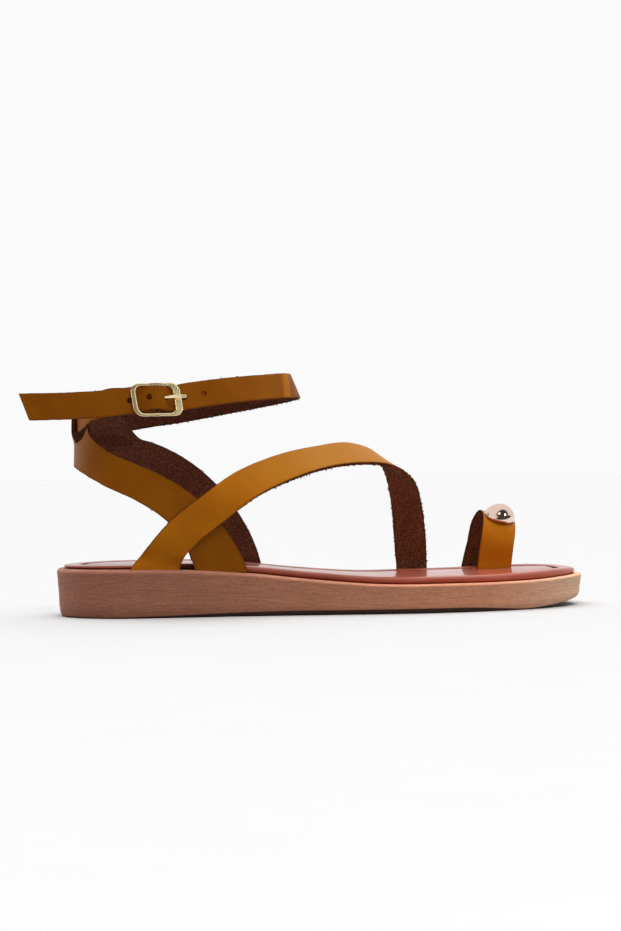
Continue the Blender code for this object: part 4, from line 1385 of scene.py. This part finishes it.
class SandalColours(bpy.types.PropertyGroup):
    """Colours that a user would change."""

    # One leather for all straps: the front straps' lighter tone is painted light, the heel straps' darker
    # tone painted shade
    lit_front_grain: colour_property("Front straps", "Outside of instep strap and toe loop", (0.56, 0.172, 0.005))
    shaded_heel_grain: colour_property("Heel straps", "Outside of heel sling and ankle strap", (0.345, 0.099, 0.003))
    strap_suede: colour_property("Strap suede", "Inside of the straps", (0.135, 0.043, 0.022))
    strap_edge: colour_property("Strap edge", "Cut edges of the straps", (0.085, 0.032, 0.017))
    insole: colour_property("Insole", "Leather of the insole", (0.36, 0.085, 0.050))
    outsole: colour_property("Outsole", "Rubber of the outsole", (0.478, 0.190, 0.114))
    buckle: colour_property("Buckle", "Metal of the buckle", (0.94, 0.79, 0.48))
    stud: colour_property("Stud", "Metal of the toe stud", (0.86, 0.67, 0.55))
    floor: colour_property("Floor", "Paper under the shoe", (0.69, 0.69, 0.69))


# Operators


class SANDAL_OT_outsole(bpy.types.Operator):
    """Wedge outsole with a rounded edge and a ribbed underside"""

    bl_idname = "sandal.outsole"
    bl_label = "Outsole"

    def execute(self, context):
        shares, insets = edge_run(SOLE_EDGE, SOLE_EDGE_HEIGHT, SOLE_EDGE_STEPS)
        low = plan_ring(insets[0])
        rings = [(gathered(low, draw), 0.0) for draw in SOLE_BELOW]
        rings += [(plan_ring(inset), share) for share, inset in zip(shares, insets)]
        high = plan_ring(insets[-1])
        rings += [(gathered(high, draw), 1.0) for draw in SOLE_ABOVE]
        solid = []
        for ring, share in rings:
            floor = profile_at("floor", ring[:, 0])
            top = profile_at("top", ring[:, 0])
            solid.append(np.column_stack([ring, floor + share * (top - floor)]))
        piece = lay_rings("sandal_outsole", solid)
        piece.data.materials.append(sole_rubber())
        piece.data.materials.append(sole_tread())
        for face in piece.data.polygons:
            if face.normal.z < -LEVEL_FACE:
                face.material_index = 1
        shade(piece, 50)
        finish_piece(piece, "outsole_rubber", "outsole")
        return {"FINISHED"}


class SANDAL_OT_insole(bpy.types.Operator):
    """Padded insole with a rolled rim, a pressed channel and a slit for the toe loop"""

    bl_idname = "sandal.insole"
    bl_label = "Insole"

    def execute(self, context):
        shares, insets = edge_run(INSOLE_EDGE, INSOLE_EDGE_HEIGHT, INSOLE_EDGE_STEPS)
        low = plan_ring(INSOLE_INSET + insets[0])
        rings = [(gathered(low, draw), 0.0) for draw in INSOLE_BELOW]
        rings += [(plan_ring(INSOLE_INSET + inset), share) for share, inset in zip(shares, insets)]
        high = plan_ring(INSOLE_INSET + insets[-1])
        for draw in INSOLE_ABOVE:
            rings.append((gathered(high, draw), shares[-1] + INSOLE_CROWN * math.sin(draw * math.pi / 2)))
        solid = []
        for ring, share in rings:
            base = profile_at("top", ring[:, 0]) + GAP
            solid.append(np.column_stack([ring, base + share * profile_at("rim", ring[:, 0])]))
        piece = lay_rings("sandal_insole", solid)
        piece.data.materials.append(insole_gloss())
        loop = toe_loop()
        half = loop.width[0] / 2 + GAP
        thick = size("leather") / 2 + GAP
        middle = loop.centre[0]
        low = middle - (half, thick, TOE_SLIT_BELOW)
        high = middle + (half, thick, TOE_SLIT_ABOVE)
        cut_away(piece, box_cutter("toe_slit", low, high))
        shade(piece, 50)
        finish_piece(piece, "insole_leather", "insole")
        return {"FINISHED"}


class SANDAL_OT_upper_straps(bpy.types.Operator):
    """Instep strap and heel sling, which cross on the outer side"""

    bl_idname = "sandal.upper_straps"
    bl_label = "Upper straps"

    def execute(self, context):
        instep = instep_strap()
        turn = instep.row_at[INSTEP_TURN_ROW]
        creases = [(turn + past, slant, depth) for past, slant, depth in INSTEP_CREASES.rows]
        piece = lay_strap("instep_strap", instep, lanes=12, seed=11, creases=creases)
        wall_up(piece, "lit_front_grain")
        grow_fibres(piece, instep, INSTEP_FIBRES, seed=12)
        shade(piece, 40)
        finish_piece(piece, "strap_leather", "upper")
        sling = heel_sling()
        piece = lay_sling("heel_sling", sling, lanes=26, seed=21)
        wall_up(piece, "shaded_heel_grain")
        cut_away(piece, strap_way(ankle_strap(sling)))
        cut_away(piece, tab_cutter(sling, NEAR_NOTCH, NOTCH_HUB))
        cut_away(piece, tab_cutter(sling, FAR_SLIT, SLIT_HUB))
        grow_fibres(piece, sling, SLING_FIBRES, seed=22)
        shade(piece, 40)
        finish_piece(piece, "strap_leather", "upper")
        return {"FINISHED"}


class SANDAL_OT_ankle_strap(bpy.types.Operator):
    """Buckled ankle strap with its punched holes"""

    bl_idname = "sandal.ankle_strap"
    bl_label = "Ankle strap"

    def execute(self, context):
        strap = ankle_strap(heel_sling())
        piece = lay_strap("sandal_ankle_strap", strap, lanes=10, seed=31, cut=TAIL_CUT)
        wall_up(piece, "shaded_heel_grain")
        cut_away(piece, lay_rod("prong_way", prong_path(), size("prong_radius") + GAP))
        for toe_by, up_by, deep in HOLES.rows:
            wall = CUT_EDGE if deep > 1 else GRAIN
            cut_away(piece, hole_cutter(strap, toe_by, up_by, deep), wall)
        grow_fibres(piece, strap, ANKLE_FIBRES, seed=32)
        shade(piece, 40)
        finish_piece(piece, "strap_leather", "ankle_strap")
        return {"FINISHED"}


class SANDAL_OT_toe_loop(bpy.types.Operator):
    """Loop over the big toe"""

    bl_idname = "sandal.toe_loop"
    bl_label = "Toe loop"

    def execute(self, context):
        loop = toe_loop()
        piece = lay_strap("sandal_toe_loop", loop, lanes=12, seed=41)
        wall_up(piece, "lit_front_grain")
        grow_fibres(piece, loop, LOOP_FIBRES, seed=42)
        shade(piece, 40)
        finish_piece(piece, "strap_leather", "toe_loop")
        return {"FINISHED"}


class SANDAL_OT_toe_stud(bpy.types.Operator):
    """Oval polished dome on the toe loop"""

    bl_idname = "sandal.toe_stud"
    bl_label = "Toe stud"

    def execute(self, context):
        loop = toe_loop()
        centre, run, across, face = loop.frame(loop.at[-1] * STUD_AT)
        start_clean()
        bpy.ops.mesh.primitive_uv_sphere_add(segments=72, ring_count=36, radius=1.0)
        piece = named("sandal_toe_stud")
        bpy.ops.object.mode_set(mode="EDIT")
        bpy.ops.mesh.select_all(action="SELECT")
        bpy.ops.mesh.bisect(plane_co=(0, 0, 0), plane_no=(0, 0, 1), use_fill=True, clear_inner=True)
        bpy.ops.mesh.select_all(action="SELECT")
        stretch = (size("stud_length") / 2 * MM, size("stud_width") / 2 * MM, size("stud_height") * MM)
        bpy.ops.transform.resize(value=stretch, center_override=(0, 0, 0))
        bpy.ops.object.mode_set(mode="OBJECT")
        half_long, half_wide, high = stretch
        for vertex in piece.data.vertices:
            inward = max(0.0, 1 - (vertex.co.x / half_long) ** 2 - (vertex.co.y / half_wide) ** 2)
            vertex.co.z = high * inward**STUD_FULLNESS
        for polygon in piece.data.polygons:
            polygon.select = polygon.normal.z < -LEVEL_FACE
        bpy.ops.object.mode_set(mode="EDIT")
        bpy.ops.mesh.select_mode(type="FACE")
        bpy.ops.mesh.extrude_region_move(TRANSFORM_OT_translate={"value": (0, 0, -STUD_STAND * MM)})
        bpy.ops.transform.resize(value=(STUD_FOOT, STUD_FOOT, 1.0), center_override=(0, 0, 0))
        bpy.ops.object.mode_set(mode="OBJECT")
        bevel_edges(piece, STUD_BEVEL, segments=3, degrees=40)
        base = centre + face * (size("leather") / 2 + STUD_STAND)
        up = face / np.linalg.norm(face)
        aside = math.radians(STUD_TURN)
        long = across * math.cos(aside) + run * math.sin(aside)
        long = long - up * np.dot(long, up)
        long /= np.linalg.norm(long)
        stand(piece, base, long, np.cross(up, long), up)
        piece.data.materials.append(rose_gold())
        close_up(piece)
        shade(piece, 45)
        finish_piece(piece, "stud_metal", "toe_stud")
        return {"FINISHED"}


class SANDAL_OT_buckle(bpy.types.Operator):
    """Buckle frame with its centre bar, and the prong"""

    bl_idname = "sandal.buckle"
    bl_label = "Buckle"

    def model_frame(self):
        """Rounded frame with a window, modelled flat at the origin."""
        half = size("frame_length") / 2
        tall = size("frame_height") / 2
        start_clean()
        bpy.ops.mesh.primitive_plane_add(size=2.0)
        piece = named("sandal_buckle_frame")
        bpy.ops.object.mode_set(mode="EDIT")
        bpy.ops.mesh.select_all(action="SELECT")
        bpy.ops.transform.resize(value=(half * MM, tall * MM, 1.0), center_override=(0, 0, 0))
        bpy.ops.mesh.bevel(offset=FRAME_CORNER * MM, segments=8, affect="VERTICES")
        bpy.ops.mesh.select_all(action="SELECT")
        bpy.ops.mesh.inset(thickness=RAIL * MM)
        bpy.ops.object.mode_set(mode="OBJECT")
        window = [p for p in piece.data.polygons if p.select][0]
        inner = list(window.vertices)
        self.shift_side(piece, [v for v in inner if piece.data.vertices[v].co.x < 0], LEFT_BAR - RAIL)
        self.shift_side(piece, [v for v in inner if piece.data.vertices[v].co.x > 0], RAIL - RIGHT_BAR)
        for face in piece.data.polygons:
            face.select = set(face.vertices) == set(inner)
        bpy.ops.object.mode_set(mode="EDIT")
        bpy.ops.mesh.select_mode(type="FACE")
        bpy.ops.mesh.delete(type="ONLY_FACE")
        bpy.ops.mesh.select_all(action="SELECT")
        thick = size("frame_thick") * MM
        bpy.ops.mesh.extrude_region_move(TRANSFORM_OT_translate={"value": (0, 0, thick)})
        bpy.ops.mesh.select_all(action="SELECT")
        bpy.ops.transform.translate(value=(0, 0, -thick / 2))
        bpy.ops.mesh.normals_make_consistent(inside=False)
        bpy.ops.object.mode_set(mode="OBJECT")
        for face in piece.data.polygons:
            face.select = face.normal.z > LEVEL_FACE
        bpy.ops.object.mode_set(mode="EDIT")
        bpy.ops.mesh.inset(thickness=FRAME_RIM * MM, depth=-FRAME_RECESS * MM)
        bpy.ops.object.mode_set(mode="OBJECT")
        for vertex in piece.data.vertices:
            vertex.co.x -= FRAME_SLANT * vertex.co.y
        bevel_edges(piece, FRAME_BEVEL, segments=3, degrees=50)
        return piece

    def shift_side(self, piece, vertices, by):
        """Move one side of the window along the strap."""
        chosen = set(vertices)
        for edge in piece.data.edges:
            edge.select = False
        for face in piece.data.polygons:
            face.select = False
        for vertex in piece.data.vertices:
            vertex.select = vertex.index in chosen
        make_active(piece)
        bpy.ops.object.mode_set(mode="EDIT")
        bpy.ops.mesh.select_mode(type="VERT")
        bpy.ops.transform.translate(value=(by * MM, 0, 0))
        bpy.ops.object.mode_set(mode="OBJECT")

    def execute(self, context):
        piece = self.model_frame()
        stand(piece, BUCKLE_CENTRE, *buckle_axes())
        rail = size("frame_height") / 2 - RAIL / 2
        staple = [(rail - inward, out) for inward, out in BAR_STAPLE.rows]
        path = [on_buckle(0.0, v, w) for v, w in staple]
        path += [on_buckle(0.0, -v, w) for v, w in staple[::-1]]
        bar = lay_rod("centre_bar", path, BAR_RADIUS)
        make_active(piece)
        bar.select_set(True)
        bpy.ops.object.join()
        piece.data.materials.clear()
        piece.data.materials.append(pale_gold())
        shade(piece, 35)
        finish_piece(piece, "buckle_metal", "buckle_frame")
        prong = lay_rod("sandal_buckle_prong", prong_path(), size("prong_radius"), 20)
        prong.data.materials.append(pale_gold())
        shade(prong, 60)
        finish_piece(prong, "buckle_metal", "buckle_prong")
        return {"FINISHED"}


class SANDAL_OT_stage(bpy.types.Operator):
    """White floor, soft studio light and the camera"""

    bl_idname = "sandal.stage"
    bl_label = "Stage"

    def add_floor(self):
        start_clean()
        bpy.ops.mesh.primitive_circle_add(
            vertices=96, radius=FLOOR_RADIUS, fill_type="NGON", location=(0, 0, -FLOOR_DROP)
        )
        floor = named("studio_floor")
        bpy.ops.object.mode_set(mode="EDIT")
        bpy.ops.mesh.select_all(action="SELECT")
        bpy.ops.mesh.inset(thickness=FLOOR_RIM)
        bpy.ops.object.mode_set(mode="OBJECT")
        bpy.ops.object.transform_apply(location=True, rotation=True, scale=True)
        floor.data.materials.append(studio_floor())

    def add_sun(self, name, towards, strength, spread):
        start_clean()
        bpy.ops.object.light_add(type="SUN")
        light = named(name)
        light.data.energy = strength
        light.data.angle = math.radians(spread)
        light.visible_glossy = False
        light.rotation_mode = "QUATERNION"
        light.rotation_quaternion = Vector(towards).to_track_quat("Z", "Y")

    def add_softbox(self, name, place, wide, high, power):
        start_clean()
        bpy.ops.object.light_add(type="AREA", location=place)
        light = named(name)
        light.data.shape = "RECTANGLE"
        light.data.size = wide
        light.data.size_y = high
        light.data.energy = power
        aim = Vector(LIGHT_AIM) - Vector(place)
        light.rotation_mode = "QUATERNION"
        light.rotation_quaternion = aim.to_track_quat("-Z", "Y")

    def add_surround(self):
        """White room, darker on the camera's side, with plain white behind the shoe."""
        room = bpy.data.worlds.new("studio_room")
        bpy.context.scene.world = room
        room.use_nodes = True
        nodes = Nodes(room.node_tree)
        looks = nodes.add("TexCoord").outputs["Generated"]

        def towards(direction):
            toward = Vector(direction).normalized()
            return nodes.add("VectorMath", {0: looks, 1: toward}, operation="DOT_PRODUCT").outputs["Value"]

        overhead = nodes.span(towards((0.0, 0.1, 1.0)), 0.62, 0.88, 0.0, 1.6)
        behind = nodes.span(towards((0.15, 1.0, 0.1)), -0.2, 0.35, 0.10, 0.85)
        light = nodes.math("ADD", overhead, behind)
        mirrored = nodes.span(towards((0.42, -0.90, 0.04)), 0.72, 0.90, 0.88, 0.06)
        path = nodes.add("LightPath").outputs
        value = nodes.blend(path["Is Glossy Ray"], light, mirrored)
        value = nodes.blend(path["Is Camera Ray"], value, BACKDROP)
        lit = room.node_tree.nodes["Background"]
        lit.inputs["Color"].default_value = (1.0, 1.0, 1.0, 1.0)
        nodes.put(lit.inputs["Strength"], value)

    def add_camera(self):
        start_clean()
        bpy.ops.object.camera_add(location=CAMERA_PLACE)
        camera = named("camera")
        camera.data.lens = 80.96
        camera.data.sensor_width = 36.0
        camera.data.clip_start = 0.01
        turn = Matrix.Identity(3)
        for degrees, axis in CAMERA_TURNS:
            turn = turn @ Matrix.Rotation(math.radians(degrees), 3, axis)
        camera.rotation_euler = turn.to_euler()
        bpy.context.scene.camera = camera

    def execute(self, context):
        self.add_floor()
        self.add_surround()
        self.add_sun("top_key", (0.10, -0.36, 0.93), 0.75, 25)
        self.add_softbox("softbox_toe", (0.72, -0.72, 0.10), 0.12, 0.12, 0.45)
        self.add_softbox("softbox_camera", (0.20, -1.1, 0.30), 0.14, 0.14, 0.5)
        self.add_camera()
        context.scene.view_settings.view_transform = "Standard"
        return {"FINISHED"}


class SANDAL_PT_panel(bpy.types.Panel):
    """Sizes, colours and pieces of the sandal"""

    bl_idname = "SANDAL_PT_panel"
    bl_label = "Toe loop sandal"
    bl_space_type = "VIEW_3D"
    bl_region_type = "UI"
    bl_category = "Sandal"

    def draw(self, context):
        for values in (context.scene.sandal_sizes, context.scene.sandal_colours):
            box = self.layout.box()
            for name in values.__annotations__:
                box.prop(values, name)
        column = self.layout.column(align=True)
        for operator in OPERATORS:
            column.operator(operator.bl_idname)


OPERATORS = (
    SANDAL_OT_outsole,
    SANDAL_OT_insole,
    SANDAL_OT_upper_straps,
    SANDAL_OT_ankle_strap,
    SANDAL_OT_toe_loop,
    SANDAL_OT_toe_stud,
    SANDAL_OT_buckle,
    SANDAL_OT_stage,
)
CLASSES = (SandalSizes, SandalColours, *OPERATORS, SANDAL_PT_panel)


def register():
    for each in CLASSES:
        bpy.utils.register_class(each)
    bpy.types.Scene.sandal_sizes = bpy.props.PointerProperty(type=SandalSizes)
    bpy.types.Scene.sandal_colours = bpy.props.PointerProperty(type=SandalColours)


def unregister():
    del bpy.types.Scene.sandal_colours
    del bpy.types.Scene.sandal_sizes
    for each in reversed(CLASSES):
        bpy.utils.unregister_class(each)


def main():
    register()
    bpy.ops.sandal.outsole()
    bpy.ops.sandal.insole()
    bpy.ops.sandal.upper_straps()
    bpy.ops.sandal.ankle_strap()
    bpy.ops.sandal.toe_loop()
    bpy.ops.sandal.toe_stud()
    bpy.ops.sandal.buckle()
    bpy.ops.sandal.stage()


if __name__ == "__main__":
    main()
